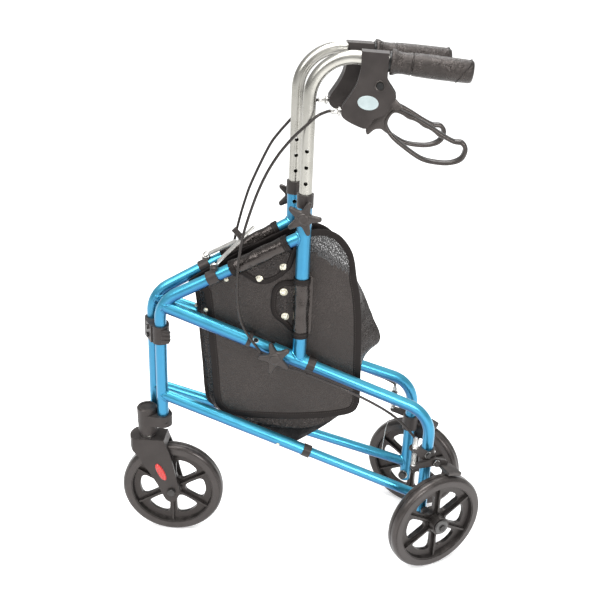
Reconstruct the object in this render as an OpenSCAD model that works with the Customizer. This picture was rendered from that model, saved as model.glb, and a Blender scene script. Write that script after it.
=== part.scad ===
// Folding three wheel rollator: two tubular side frames hinged on a front head, with a swivelling
// front caster, telescopic rear legs, height-adjustable brake handles and a soft bag between the sides.
// Frame: +X to the walker's left, -Y forwards, +Z up, the floor at Z = 0. A side frame is drawn in its own
// plane: X points outwards, Y rearwards along the frame from its front tube, Z up.

/* [Folding] */
// Angle of each side frame to the middle plane as it stands here, nearly folded
rest_angle = 4.5; // [4:0.1:8]
// Angle of each side frame to the middle plane when fully open
open_angle = 32; // [30:0.5:33]
// Half the distance between the two front tubes
hinge_half = 20.6; // [20:0.1:23]

/* [Tubes] */
// Outside diameter of the main tubes, rear legs and handle tubes
tube_d = 22; // [20:0.5:24]
// Outside diameter of the posts and of the middle rails
post_d = 25.4; // [25:0.1:27]
// Outside diameter of the lower rear tubes
brace_d = 19; // [18:0.5:19.5]
// Wall of every tube
tube_wall = 1.5; // [1.2:0.1:1.6]

/* [Side frames] */
// Distance from the front tube back to the post
post_s = 257.5; // [250:0.5:265]
// Distance from the front tube back to the rear leg
leg_s = 509.8; // [500:0.5:520]
// Height where the upper rail's line meets the front tube
upper_z = 506; // [500:1:512]
// Rise of the upper rail to the rear
upper_rise = 29.4; // [27:0.1:31]
// Height where the middle rail's line meets the front tube
mid_z = 502; // [498:1:506]
// Height where the lower rail's line meets the front tube
low_z = 314; // [308:1:320]
// Drop of the middle and lower rails to the rear
rail_drop = 20.4; // [19:0.1:22]
// Height of the post's top
post_top = 722; // [715:1:730]

/* [Wheels] */
// Diameter of all three wheels
wheel_d = 200; // [190:1:205]
// Width of the tyres
tyre_w = 27.4; // [25:0.2:30]
// Distance along the axle from the rear leg to the wheel's middle
wheel_out = 45.6; // [44:0.2:48]
// Distance the front wheel trails behind its swivel axis
caster_trail = 47.5; // [44:0.5:52]

/* [Handles] */
// Height of the handle's line above the post
handle_z = 963; // [950:1:975]
// Drop of the handle to the rear
handle_drop = 4.3; // [3:0.1:6]
// Length of the grip
grip_l = 131; // [115:1:135]
// Spacing of the height holes
hole_pitch = 28; // [25:0.5:30]

/* [Bag] */
// Thickness of the bag's side panels
panel_t = 3; // [2.5:0.5:3.5]

/* [Hidden] */
$fn = 64;

// Colours
BLUE = "#2d9ae0";
BLACK = "#2a2929";
RUBBER = "#343231";
SILVER = "#d8d5cd";
STEEL = "#b9b9b6";
VINYL = "#2c2826";

// Fits: running and sliding clearance on the radius, and the gap left between welded or coped pieces
fit = 0.06;
seam = 0.05;
air = 0.4;

// Radii
tube_r = tube_d / 2;
post_r = post_d / 2;
brace_r = brace_d / 2;
wheel_r = wheel_d / 2;
tyre_half = tyre_w / 2;
sleeve_r = post_r + 1.4;
low_rail_r = brace_r + fit + tube_wall;

// Where the two sides stand: the head is turned so that the left frame is at its open stop
head_turn = open_angle - rest_angle;
hinge_x = hinge_half * cos(head_turn);
hinge_dy = hinge_half * sin(head_turn);
stem_back = 25;
caster_turn = 3;
stem_x = stem_back * sin(head_turn);
stem_dy = -stem_back * cos(head_turn);

// The origin is the middle of the box that the wheels span on the floor
tyre_round = 9;
front_reach = stem_dy + (caster_trail - wheel_r + tyre_round) * cos(caster_turn)
  - (tyre_half - tyre_round) * sin(caster_turn) - tyre_round;
rear_reach = hinge_dy + leg_s * cos(rest_angle) + (wheel_out + tyre_half - tyre_round) * sin(head_turn)
  + (wheel_r - tyre_round) * cos(head_turn) + tyre_round;
hinge_y = -(front_reach + rear_reach) / 2;

// Front tube and its bend into the upper rail
tube_foot = 251;
front_bend_r = 60;
front_bend_turn = 90 - upper_rise;
front_bend_z = upper_z - front_bend_r * tan(front_bend_turn / 2);
front_bend_end = front_bend_r * (1 - cos(front_bend_turn));

// Stretches of the side rails, measured along the side frame
mid_start = 4;
mid_end = 161;
sleeve_start = 208;
sleeve_end = 272;
low_end = 272;
bush_l = 15;

// Rear leg and its bend
leg_foot = 86;
leg_start = 96;
brace_start = 200;
rear_bend_r = 68;
rear_bend_turn = 90 - rail_drop;
rear_bend_z = mid_height(leg_s) - rear_bend_r * tan(rear_bend_turn / 2);

// Handle
handle_foot = 560;
handle_bend_r = 70;
handle_turn = 90 + handle_drop;
handle_bend_z = handle_z - handle_bend_r * tan(handle_turn / 2);
handle_start = post_s + handle_bend_r * tan(handle_turn / 2) * cos(handle_drop);
grip_start = 384.5;
knob_z = 691;
rail_knob_s = 216;
knob_tip = 31;
screw_r = 4;

// Brake lever: housing outline, pivot and finger loop as (distance rearwards, height)
housing_half = 14.5;
slot_half = 8.2;
lever_half = 7.5;
lever_pivot = [370, 917];
pin_r = 3;
housing_steps = 60;
housing_outline = [[381.5, 968], [381, 931], [384, 921], [393, 909], [397, 900], [390, 887], [384, 876],
  [375, 868], [365, 864], [360, 856], [352, 847.5], [342, 849], [322, 857.5], [311.5, 866], [310.6, 877],
  [314, 884.5], [325, 901.5], [333, 918], [336.5, 934], [338, 948], [337.5, 969.5]];
loop_points = [[398, 877], [420, 870], [450, 856], [478, 840], [496, 831.5], [510, 829], [516, 819], [511, 804],
  [494, 795.5], [470, 795], [446, 800], [420, 815.5], [396, 834], [384, 852], [387, 868]];
lever_neck = [[360, 917], [381, 917], [396, 896], [408, 882], [398, 877], [387, 868], [384, 852], [396, 834],
  [391, 834], [385, 842.5], [374, 846.5], [365, 844.5], [355.5, 835.5], [352.5, 838], [352, 846], [357, 860]];
loop_band = 3.2;
cable_port = [293.6, 870.2];

// Rear brake, in the wheel's own frame: out along the axle, rearwards, up
brake_pivot = [1, 221];
arm_tip = [-48, 224];
adjuster_z = 262;
arm_plane = [22, 28];
pad_gap = 5.4;

// Fold brace: rivets on the upper rails and the point where the two links meet
clamp_s = 100;
rivet_up = 21;
link_t = 2.6;
link_half = 7;
eye_t = 2.6;
clamp_r = tube_r + 2.6;
// The right link ends this far from the meeting point, so that the two never touch
link_short = 18.5;
meet_point = [0, hinge_y + 157, 628];
left_rivet = left_point([0, clamp_s, upper_height(clamp_s) + rivet_up]);
right_rivet = right_point([0, clamp_s, upper_height(clamp_s) + rivet_up]);
link_normal = unit(cross(meet_point - right_rivet, meet_point - left_rivet));
left_rivet_axis = unit([-0.74, -0.06, 0.67]);
right_rivet_axis = unit([0.59, -0.12, 0.80]);

// Head and caster heights: underside of the stem housing, underside and top of the arm, top of the housing
head_z = [224, 247, 269, 282];
head_r = 19.4;
set_screw_z = (head_z[1] + head_z[2]) / 2;
bracket_z = [425, 459];
bolt_heights = [434, 450];
stem_r = 6;
stem_top = 262;
fork_top = 217.5;
// Side view of the fork as (rearwards, height) from the stem's axis, and the radius of its crown
fork_points = [[35, 217.5], [39, 206], [45, 189], [52, 160], [58.5, 127], [63, 108], [63.5, 97], [60, 87],
  [54, 79], [46, 75], [38, 78.5], [31, 89.5], [20, 115], [6, 140], [-2, 153.5], [-10, 167.5], [-17, 180.5],
  [-22, 195], [-24.5, 206], [-24, 217.5]];
fork_steps = 76;
crown_r = 34.5;
fork_half = 22.5;
tyre_room = 3.5;

// Wheels
axle_r = 4;
rim_r = 82;
rim_lip = 66;
// Half of a window between two spokes, as (distance from the axle, angle)
window_half = [[27, 12], [33, 18], [50, 22], [60, 21.5], [64.6, 15.5]];
window_steps = 48;
hub_r = 18;
hub_in = 20;
hub_out = 22;

// Brake spring: its coil, and the least gap between its turns
spring_r = 4;
spring_wire = 0.6;
spring_turns = 9;
turn_rings = 8;
spring_low = arm_tip[1] + 6.6;
spring_rise = adjuster_z - 7 - spring_low;
spring_points = [for (i = [0:spring_turns * turn_rings])
  [arm_plane[0] + 3 + spring_r * cos(360 * i / turn_rings), arm_tip[0] + spring_r * sin(360 * i / turn_rings),
   spring_low + spring_rise * i / (spring_turns * turn_rings)]];
spring_gap = min([for (i = [0:len(spring_points) - 1], j = [0:len(spring_points) - 1])
  if (j - i >= turn_rings / 2) norm(spring_points[j] - spring_points[i])]) - 2 * spring_wire;
echo(spring_gap = spring_gap);

// Finger loop steps and the bag's snap fasteners
loop_steps = 56;
snap_points = [[223, 584], [179.5, 558], [224.5, 536], [228.5, 487.5]];
stud_points = [[119.6, 552], [82, 489]];

// Bag panel outline as (distance rearwards, height)
panel_out = -16.8;
panel_points = [[79, 548], [80, 520], [84, 484], [88, 428], [92.5, 371], [96, 314], [101, 290], [111, 277],
  [130, 267], [223, 268], [297, 276], [340, 285], [363, 295], [372, 310], [374, 335], [368, 470], [362, 530],
  [354, 568], [347, 602], [339, 621], [323, 640], [306, 650], [288, 654], [266, 652], [245, 642]];
// Flaps of the straps on the upper rail and on the post
rail_flap = [[133, 588], [137, 573], [156, 560], [177, 549.5], [195, 551.5], [213, 561], [226, 573], [238, 592],
  [243, 636]];
post_flap = [[262, 572], [245, 560], [222, 556], [207, 543], [202.5, 522], [203.5, 497], [210.5, 483.5],
  [227, 471], [241, 458], [262, 458]];
bag_middle = [230, 430];
gusset_t = 2.5;
gusset_rows = [[84, 544, 94, 543], [87, 480, 94, 478], [92.5, 400, 98, 398], [99, 330, 105, 318],
  [107, 288, 124, 264], [140, 271, 178, 236], [200, 271, 235, 212], [263, 276, 282, 203], [315, 284, 322, 227],
  [352, 296, 360, 262], [368, 318, 380, 322], [369, 370, 388, 388], [366, 420, 409, 424], [363, 470, 414, 465],
  [358, 520, 392, 516], [352, 556, 366, 556]];

// Brake cable routes from the lever to the rear brake as (outwards, rearwards, height)
cable_r = 2.5;
cable_rings = 46;
cable_sides = 8;
left_cable = [[0, 292.8, 870.2], [1.2, 288.6, 869.4], [4.6, 284, 868.2], [8.6, 278.3, 866.4],
  [12.2, 273, 863.9], [14.8, 265.5, 858], [15.4, 257.8, 850.2], [15.3, 247.3, 840.1], [14.8, 232.8, 824.8],
  [14.3, 220.5, 809.5], [14.1, 209, 793.2], [14.3, 193, 765.3], [15.3, 178.1, 731.1], [17.5, 165.9, 694.9],
  [20, 155.3, 657.2], [21.6, 148.8, 617.8], [22, 145.5, 585], [22, 145, 550], [21, 147, 514], [20, 154, 482],
  [19.5, 168, 456], [19.5, 184, 434], [19.5, 200, 414], [19.5, 220, 402], [19.5, 246, 397.5], [19.5, 274, 389],
  [19, 310, 376], [18, 352, 359], [17, 396, 338], [21, 430, 321], [30, 456, 306], [39, 472, 293],
  [44.5, 480.4, 285], [46.6, 482.3, 278]];
right_cable = [[0, 292.8, 870.4], [1.2, 288.6, 868.8], [4.6, 283.6, 865.6], [9, 277, 860.6], [12.6, 270.5, 855],
  [15, 262, 847], [15.4, 251.1, 835.9], [15, 240.6, 824], [14.6, 229.4, 810.7], [14.2, 215.3, 791.4],
  [14.3, 201, 763], [14.8, 182.9, 721.6], [15.5, 174.1, 697.5], [17.8, 162.7, 657], [20.5, 153.3, 614.4],
  [22, 147.6, 576], [22, 146, 538], [21, 148, 506], [20, 155, 478], [19.5, 168, 454], [19.5, 184, 434],
  [19.5, 200, 414], [19.5, 220, 402], [19.5, 246, 397.5], [19.5, 274, 389], [19, 310, 376], [18, 352, 359],
  [17, 396, 338], [21, 430, 321], [30, 456, 306], [39, 472, 293], [44.5, 480.4, 285], [46.6, 482.3, 278]];
tail_r = 0.8;
tail_points = [[25, -48, 217.6], [22, -48.5, 211], [14, -50, 203], [6, -52, 190], [2, -53, 170], [0, -54, 148],
  [-1, -55, 128]];

// Heights of the rails' centre lines at a distance along the frame
function upper_height(s) = upper_z + s * tan(upper_rise);
function mid_height(s) = mid_z - s * tan(rail_drop);
function low_height(s) = low_z - s * tan(rail_drop);
function handle_height(s) = handle_z - (s - post_s) * tan(handle_drop);

// A point of a side frame in the walker's own frame
function turned(p, a) = [p[0] * cos(a) - p[1] * sin(a), p[0] * sin(a) + p[1] * cos(a), p[2]];
function left_point(p) = turned(p, -rest_angle) + [hinge_x, hinge_y + hinge_dy, 0];
function right_point(p) = turned([-p[0], p[1], p[2]], rest_angle) + [-hinge_x, hinge_y - hinge_dy, 0];

// A smooth curve through points: its value at t, counted in points from the first
function spline(p, t) =
  let (n = len(p), i = min(floor(t), n - 2), f = t - i,
       a = p[max(i - 1, 0)], b = p[i], c = p[i + 1], d = p[min(i + 2, n - 1)])
  (2 * b + (c - a) * f + (2 * a - 5 * b + 4 * c - d) * f * f + (3 * b - a - 3 * c + d) * f * f * f) / 2;
function loop_spline(p, t) = spline([for (k = [-1:len(p) + 2]) p[(k + len(p)) % len(p)]], t + 1);
function unit(v) = v / norm(v);

// A closed solid through rings of equally many points
module loft(rings) {
  n = len(rings);
  sides = len(rings[0]);
  walls = [for (i = [0:n - 2], k = [0:sides - 1], h = [0, 1])
    let (a = i * sides + k, b = i * sides + (k + 1) % sides)
    h == 0 ? [a, b, b + sides] : [a, b + sides, a + sides]];
  caps = [for (k = [1:sides - 2], h = [0, 1])
    h == 0 ? [0, k + 1, k] : [(n - 1) * sides, (n - 1) * sides + k, (n - 1) * sides + k + 1]];
  polyhedron([for (row = rings, p = row) p], concat(walls, caps));
}
// One closed tube along a list of points, with rings square to it
module swept(path, r, sides) {
  n = len(path);
  loft([for (i = [0:n - 1])
    let (t = unit(path[min(i + 1, n - 1)] - path[max(i - 1, 0)]),
         u = unit(cross(t, abs(t[0]) < 0.9 ? [1, 0, 0] : [0, 1, 0])),
         v = cross(t, u))
    [for (k = [0:sides - 1]) path[i] + r * (u * cos(360 * k / sides) + v * sin(360 * k / sides))]]);
}

// Placing: the two side frames, the head, the caster and a rear wheel in its side frame
module left() {
  translate([hinge_x, hinge_y + hinge_dy, 0]) rotate(-rest_angle) children();
}
module right() {
  translate([-hinge_x, hinge_y - hinge_dy, 0]) rotate(rest_angle) mirror([1, 0, 0]) children();
}
module head() {
  translate([0, hinge_y, 0]) rotate(head_turn) children();
}
module caster() {
  translate([stem_x, hinge_y + stem_dy, 0]) rotate(-caster_turn) children();
}
module at_wheel() {
  translate([0, leg_s, 0]) rotate(open_angle) children();
}
// Turns Z to run along a line of the side frame that rises by pitch to the rear
module along(s, z, pitch) {
  translate([0, s, z]) rotate([pitch - 90, 0, 0]) children();
}
// Turns Z to point outwards from a side frame
module outwards(s, z) {
  translate([0, s, z]) rotate([0, 90, 0]) children();
}
// Draws a side frame outline of (distance rearwards, height) from one outward place to another
module plate(from, to) {
  translate([from, 0, 0]) rotate([90, 0, 90]) linear_extrude(to - from) children();
}
// Part of a ring in the side frame's plane, from the front of its centre over the top
module bend(s, z, bend_r, from, turn, r) {
  translate([0, s, z]) rotate([90, 0, -90]) rotate(from)
    rotate_extrude(angle = turn) translate([bend_r, 0]) circle(r);
}
module ring(outer, inner, h) {
  difference() {
    cylinder(r = outer, h = h);
    translate([0, 0, -1]) cylinder(r = inner, h = h + 2);
  }
}
// Two discs joined by a strip along their common tangents, drawn a hair inside them
module taper(p, rp, q, rq) {
  inside = 0.995;
  way = atan2(q[1] - p[1], q[0] - p[0]);
  lean = acos((rp - rq) / norm(q - p));
  up = [cos(way + lean), sin(way + lean)];
  down = [cos(way - lean), sin(way - lean)];
  translate(p) circle(rp);
  translate(q) circle(rq);
  polygon([p + inside * rp * up, p + inside * rp * down, q + inside * rq * down, q + inside * rq * up]);
}

// The front tube, its bend and the upper rail as one solid rod
module main_rod(r, spare) {
  rail_l = (post_s - front_bend_end) / cos(upper_rise);
  translate([0, 0, tube_foot - spare]) cylinder(r = r, h = front_bend_z - tube_foot + spare);
  bend(front_bend_r, front_bend_z, front_bend_r, 0, front_bend_turn, r);
  along(front_bend_end, upper_height(front_bend_end), upper_rise) cylinder(r = r, h = rail_l);
}
module main_tube() {
  color(BLUE) difference() {
    main_rod(tube_r, 0);
    main_rod(tube_r - tube_wall, 1);
    translate([0, post_s, upper_z]) cylinder(r = post_r + seam, h = post_top - upper_z);
  }
}

module post() {
  color(BLUE) difference() {
    translate([0, post_s, mid_height(post_s)]) ring(post_r, tube_r + fit, post_top - mid_height(post_s));
    along(sleeve_start - 20, mid_height(sleeve_start - 20), -rail_drop) cylinder(r = sleeve_r + seam, h = 120);
    outwards(post_s, knob_z) cylinder(r = screw_r + fit, h = 2 * post_d, center = true);
  }
}

// Middle rail, the sleeve at the post's foot and the lower rail
module side_rails() {
  color(BLUE) {
    difference() {
      along(mid_start, mid_height(mid_start), -rail_drop)
        ring(post_r, tube_r + fit, (mid_end - mid_start) / cos(rail_drop));
      main_rod(tube_r + seam, 1);
    }
    difference() {
      along(sleeve_start, mid_height(sleeve_start), -rail_drop)
        ring(sleeve_r, tube_r + fit, (sleeve_end - sleeve_start) / cos(rail_drop));
      outwards(rail_knob_s, mid_height(rail_knob_s)) cylinder(r = screw_r + fit, h = post_d);
    }
    difference() {
      along(0, low_height(0), -rail_drop) ring(low_rail_r, brace_r + fit, low_end / cos(rail_drop));
      translate([0, 0, tube_foot]) cylinder(r = tube_r + seam, h = front_bend_z - tube_foot);
    }
  }
}

// Plastic bushes at the ends of the rails and the collar on the post
module tube_bushes() {
  lip = 5;
  color(BLACK) {
    along(mid_end + 0.2, mid_height(mid_end + 0.2), -rail_drop) ring(sleeve_r, tube_r + fit, 8);
    along(sleeve_end + 0.2, mid_height(sleeve_end + 0.2), -rail_drop)
      ring(sleeve_r - 0.6, tube_r + fit, bush_l);
    along(low_end + 0.2, low_height(low_end + 0.2), -rail_drop) ring(low_rail_r + 1.4, brace_r + fit, bush_l);
    translate([0, post_s, post_top - 18]) ring(post_r + 1.8, post_r + seam, 18);
    translate([0, post_s, post_top + seam]) ring(post_r + 1.8, tube_r + fit, lip);
  }
}

// Fold brace: each link lies in the plane through both rivets and the meeting point, with X along the link
module on_axes(origin, x, z) {
  y = cross(z, x);
  rows = [for (i = [0:2]) [x[i], y[i], z[i], origin[i]]];
  multmatrix(concat(rows, [[0, 0, 0, 1]])) children();
}
module at_link(rivet) {
  on_axes(rivet, unit(meet_point - rivet), link_normal) children();
}
// At a rivet, with Z along the rivet's axis
module at_rivet(rivet, axis) {
  on_axes(rivet, unit(cross([0, 1, 0], axis)), axis) children();
}
// The clamp's ring on the upper rail, before it is bored
module clamp_ring(r, spare) {
  along(clamp_s - 10 - spare, upper_height(clamp_s - 10 - spare), upper_rise)
    cylinder(r = r, h = 20 + 2 * spare);
}
// The neck between the ring and the rivet's seat
module clamp_neck() {
  translate([0, clamp_s, upper_height(clamp_s)]) cylinder(r = 7.5, h = rivet_up + 6);
}
// The seat under the link's eye, and the space above the seat
module clamp_seat() {
  translate([0, 0, -eye_t / 2 - air - 7]) cylinder(r = 6, h = 7);
}
module clamp_space() {
  translate([0, 0, -eye_t / 2 - air]) cylinder(r = 30, h = 40);
}
module clamp_rivet() {
  translate([0, 0, -eye_t - 3]) cylinder(r = pin_r, h = 2 * eye_t + 3);
  translate([0, 0, eye_t / 2 + air]) cylinder(r = 5.2, h = 2.2);
}
module left_link_clamp() {
  color(BLACK) difference() {
    union() {
      left() clamp_ring(clamp_r, 0);
      left() clamp_neck();
      at_rivet(left_rivet, left_rivet_axis) clamp_seat();
    }
    left() clamp_ring(tube_r + seam, 20);
    at_rivet(left_rivet, left_rivet_axis) clamp_space();
  }
  color(SILVER) at_rivet(left_rivet, left_rivet_axis) clamp_rivet();
}
module right_link_clamp() {
  color(BLACK) difference() {
    union() {
      right() clamp_ring(clamp_r, 0);
      right() clamp_neck();
      at_rivet(right_rivet, right_rivet_axis) clamp_seat();
    }
    right() clamp_ring(tube_r + seam, 20);
    at_rivet(right_rivet, right_rivet_axis) clamp_space();
  }
  color(SILVER) at_rivet(right_rivet, right_rivet_axis) clamp_rivet();
}
// A flat steel link: an eye on the rivet and a strip towards the meeting point
module link(rivet, axis, l) {
  color(SILVER) difference() {
    union() {
      at_rivet(rivet, axis) translate([0, 0, -eye_t / 2]) cylinder(r = link_half, h = eye_t);
      at_link(rivet) translate([0, 0, -link_t / 2]) linear_extrude(link_t) taper([9, 0], 5, [l, 0], 5.5);
    }
    at_rivet(rivet, axis) translate([0, 0, -20]) cylinder(r = pin_r + fit, h = 40);
    at_rivet(rivet, axis) translate([0, 0, eye_t / 2]) cylinder(r = 6, h = 12);
  }
}
// The left link carries the meeting point, and the right one stops short of it
module left_link() {
  difference() {
    link(left_rivet, left_rivet_axis, norm(meet_point - left_rivet));
    at_link(left_rivet) translate([norm(meet_point - left_rivet), 0, -5])
      cylinder(r = pin_r - 1 + seam, h = 10);
  }
}
module right_link() {
  link(right_rivet, right_rivet_axis, norm(meet_point - right_rivet) - link_short);
}
// Pull tab riveted on the left link's free end
module pull_tab() {
  color(BLACK) at_link(left_rivet) translate([norm(meet_point - left_rivet), 0, 0]) {
    translate([0, 0, -link_t / 2]) cylinder(r = pin_r - 1, h = link_t + 1);
    translate([0, 0, link_t / 2 + seam]) cylinder(r = 5.8, h = 6);
    translate([-5, -2.5, link_t / 2 + 5]) cube([10, 5, 18]);
  }
}

// Head: stem housing, with an arm that holds the two front tubes
module head_block() {
  arm_r = 17.5;
  color(BLACK) head() difference() {
    union() {
      translate([0, -stem_back, head_z[0]])
        cylinder(r1 = head_r - 1.6, r2 = head_r, h = head_z[3] - head_z[0] - 3);
      translate([0, -stem_back, head_z[3] - 3]) cylinder(r1 = head_r, r2 = head_r - 2.5, h = 3);
      translate([0, 0, head_z[1]]) linear_extrude(head_z[2] - head_z[1]) {
        for (x = [-hinge_half, hinge_half]) taper([0, -stem_back], head_r - 0.6, [x, 0], arm_r);
        taper([-hinge_half, 0], arm_r, [hinge_half, 0], arm_r - 0.01);
      }
    }
    for (x = [-hinge_half, hinge_half])
      translate([x, 0, tube_foot - air]) cylinder(r = tube_r + fit, h = 40);
    translate([0, -stem_back, head_z[0] - 1]) cylinder(r = stem_r + fit, h = stem_top - head_z[0] + 1 + air);
    translate([0, -stem_back, head_z[3] - 1.5]) cylinder(r = 13, h = 5);
    translate([hinge_half + tube_r, 0, set_screw_z]) rotate([0, 90, 0]) cylinder(r = 2.6, h = 20);
  }
}
// Bracket that keeps the two front tubes together higher up
module upper_bracket() {
  color(BLACK) head() difference() {
    translate([0, 0, bracket_z[0]]) linear_extrude(bracket_z[1] - bracket_z[0]) difference() {
      union() {
        taper([-hinge_half, 0], 15.5, [hinge_half, 0], 15.49);
        square([2 * hinge_half - 6, 36], center = true);
      }
      for (x = [-hinge_half, hinge_half]) translate([x, 0]) circle(tube_r + fit);
    }
    for (z = bolt_heights) translate([0, 0, z]) rotate([90, 0, 0]) cylinder(r = 2.55, h = 60, center = true);
  }
}
// Bolts through the upper bracket, and the screw that holds the left tube in the head
module hinge_bolts() {
  color(STEEL) head() {
    for (z = bolt_heights) translate([0, 0, z]) rotate([-90, 0, 0]) {
      translate([0, 0, -20]) cylinder(r = 2.5, h = 41);
      translate([0, 0, 18 + seam]) cylinder(r = 4.6, h = 4);
      translate([0, 0, -21.2]) cylinder(r = 4.6, h = 3.1);
    }
    translate([hinge_half + tube_r + seam, 0, set_screw_z]) rotate([0, 90, 0]) cylinder(r = 2.5, h = 5);
  }
}

// Caster: moulded fork, steel stem with washers, axle bolt
module caster_fork() {
  channel = tyre_half + 3.8;
  color(BLACK) caster() difference() {
    union() {
      plate(-fork_half, fork_half) polygon([for (k = [0:fork_steps])
        spline(fork_points, k * (len(fork_points) - 1) / fork_steps)]);
      intersection() {
        plate(0.6 - fork_half, fork_half - 0.6)
          polygon([[-40, fork_top + 0.8], [-40, 206], [-33, 197], [-27, 191], [-19, 181], [0, 153], [38, 150],
            [38, fork_top + 0.8]]);
        cylinder(r = crown_r, h = 300);
      }
    }
    translate([-channel, caster_trail, wheel_r]) rotate([0, 90, 0])
      cylinder(r = wheel_r + tyre_room, h = 2 * channel);
    translate([0, 0, fork_top - 60]) cylinder(r = stem_r + seam, h = 70);
    translate([-50, caster_trail, wheel_r]) rotate([0, 90, 0]) cylinder(r = axle_r + seam, h = 100);
  }
}
module caster_hardware() {
  color(STEEL) caster() {
    difference() {
      translate([0, 0, fork_top - 14]) cylinder(r = stem_r, h = stem_top - fork_top + 14);
      translate([0, caster_trail, wheel_r]) rotate([0, 90, 0])
        cylinder(r = wheel_r + tyre_room, h = 40, center = true);
    }
    translate([0, 0, fork_top + 0.8 + seam]) ring(14, stem_r + seam, 1.8);
    translate([0, 0, fork_top + 2.9]) ring(12, stem_r + seam, head_z[0] - fork_top - 3.3);
    translate([-fork_half - 5, caster_trail, wheel_r]) rotate([0, 90, 0]) {
      cylinder(r = axle_r, h = 2 * fork_half + 10);
      translate([0, 0, -0.01]) cylinder(r = 7, h = 4.9, $fn = 6);
      translate([0, 0, 2 * fork_half + 5.1]) cylinder(r = 7, h = 4.9);
    }
  }
}

// Wheel on an axle along Z, its middle at zero
module tyre_solid() {
  color(RUBBER) rotate_extrude($fn = 96) difference() {
    union() {
      translate([rim_r + seam, -tyre_half]) square([wheel_r - rim_r - seam - tyre_round, tyre_w]);
      translate([rim_r + seam, -tyre_half + tyre_round])
        square([wheel_r - rim_r - seam, tyre_w - 2 * tyre_round]);
      for (y = [-1, 1]) translate([wheel_r - tyre_round, y * (tyre_half - tyre_round)]) circle(tyre_round);
    }
    for (y = [-7, 0, 7]) translate([wheel_r - 0.6 - abs(y) * 0.16, y]) circle(1.1);
    for (y = [-1, 1]) translate([rim_r + 12.5, y * (tyre_half - 0.7)]) circle(0.8);
  }
}
module rim_solid(hub_in, hub_out) {
  other_half = [for (k = [len(window_half) - 1:-1:0]) [window_half[k][0], -window_half[k][1]]];
  window = concat([[24.5, 0]], window_half, [[rim_lip, 0]], other_half);
  edge = [for (p = window) p[0] * [cos(p[1]), sin(p[1])]];
  color(BLACK) difference() {
    union() {
      rotate_extrude($fn = 96) polygon([[rim_r, -12.6], [rim_r, 12.6], [rim_r - 2.2, 12.6], [rim_r - 4.5, 4.8],
        [rim_lip + 3, 4], [hub_r - 6, 4], [hub_r - 6, -4], [rim_lip + 3, -4], [rim_r - 4.5, -4.8],
        [rim_r - 2.2, -12.6]]);
      translate([0, 0, -hub_in]) cylinder(r = hub_r, h = hub_in + hub_out);
      for (k = [0:5]) rotate(60 * k) translate([10, -1.6, -10]) cube([rim_r - 12.4, 3.2, 20]);
    }
    for (k = [0:5]) rotate(60 * k + 30) linear_extrude(20, center = true)
      polygon([for (i = [0:window_steps - 1]) loop_spline(edge, i * len(edge) / window_steps)]);
    translate([0, 0, -60]) cylinder(r = axle_r + fit, h = 120);
  }
}
module front_wheel() {
  caster() translate([0, caster_trail, wheel_r]) rotate([0, 90, 0]) children();
}
module front_tyre() {
  front_wheel() tyre_solid();
}
module front_rim() {
  front_wheel() rim_solid(tyre_half + 2.8, tyre_half + 2.8);
}
module rear_wheel() {
  at_wheel() translate([wheel_out, 0, wheel_r]) rotate([0, 90, 0]) children();
}
module tyre() {
  rear_wheel() tyre_solid();
}
module rim() {
  rear_wheel() rim_solid(hub_in, hub_out);
}
// Axle bolt through the leg, with a spacer, and the cap that keeps the wheel on
module wheel_axle() {
  color(STEEL) rear_wheel() {
    translate([0, 0, -wheel_out - tube_r - 6]) cylinder(r = axle_r, h = wheel_out + tube_r + 6 + hub_out + 3);
    translate([0, 0, -wheel_out - tube_r - 8]) cylinder(r = 7.5, h = 6, $fn = 6);
    translate([0, 0, -wheel_out + tube_r + 0.6]) ring(8, axle_r + seam, wheel_out - tube_r - hub_in - 1.2);
    translate([0, 0, hub_out + air]) ring(14, axle_r + seam, 3.6);
  }
}

// Rear leg: the sliding upper tube, its bend and the upright leg as one solid rod
module leg_rod(r, spare) {
  slide_l = (leg_s - rear_bend_r + rear_bend_r * sin(rail_drop) - leg_start) / cos(rail_drop);
  along(leg_start, mid_height(leg_start), -rail_drop) translate([0, 0, -spare])
    cylinder(r = r, h = slide_l + spare);
  bend(leg_s - rear_bend_r, rear_bend_z, rear_bend_r, 180 - rear_bend_turn, rear_bend_turn, r);
  translate([0, leg_s, leg_foot - spare]) cylinder(r = r, h = rear_bend_z - leg_foot + spare);
}
module rear_leg() {
  color(BLUE) difference() {
    leg_rod(tube_r, 0);
    leg_rod(tube_r - tube_wall, 1);
    at_wheel() translate([-30, 0, wheel_r]) rotate([0, 90, 0]) cylinder(r = axle_r + seam, h = 60);
  }
}
module rear_brace() {
  color(BLUE) difference() {
    along(brace_start, low_height(brace_start), -rail_drop)
      ring(brace_r, brace_r - tube_wall, (leg_s - brace_start) / cos(rail_drop));
    translate([0, leg_s, leg_foot]) cylinder(r = tube_r + seam, h = 200);
  }
}

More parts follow.
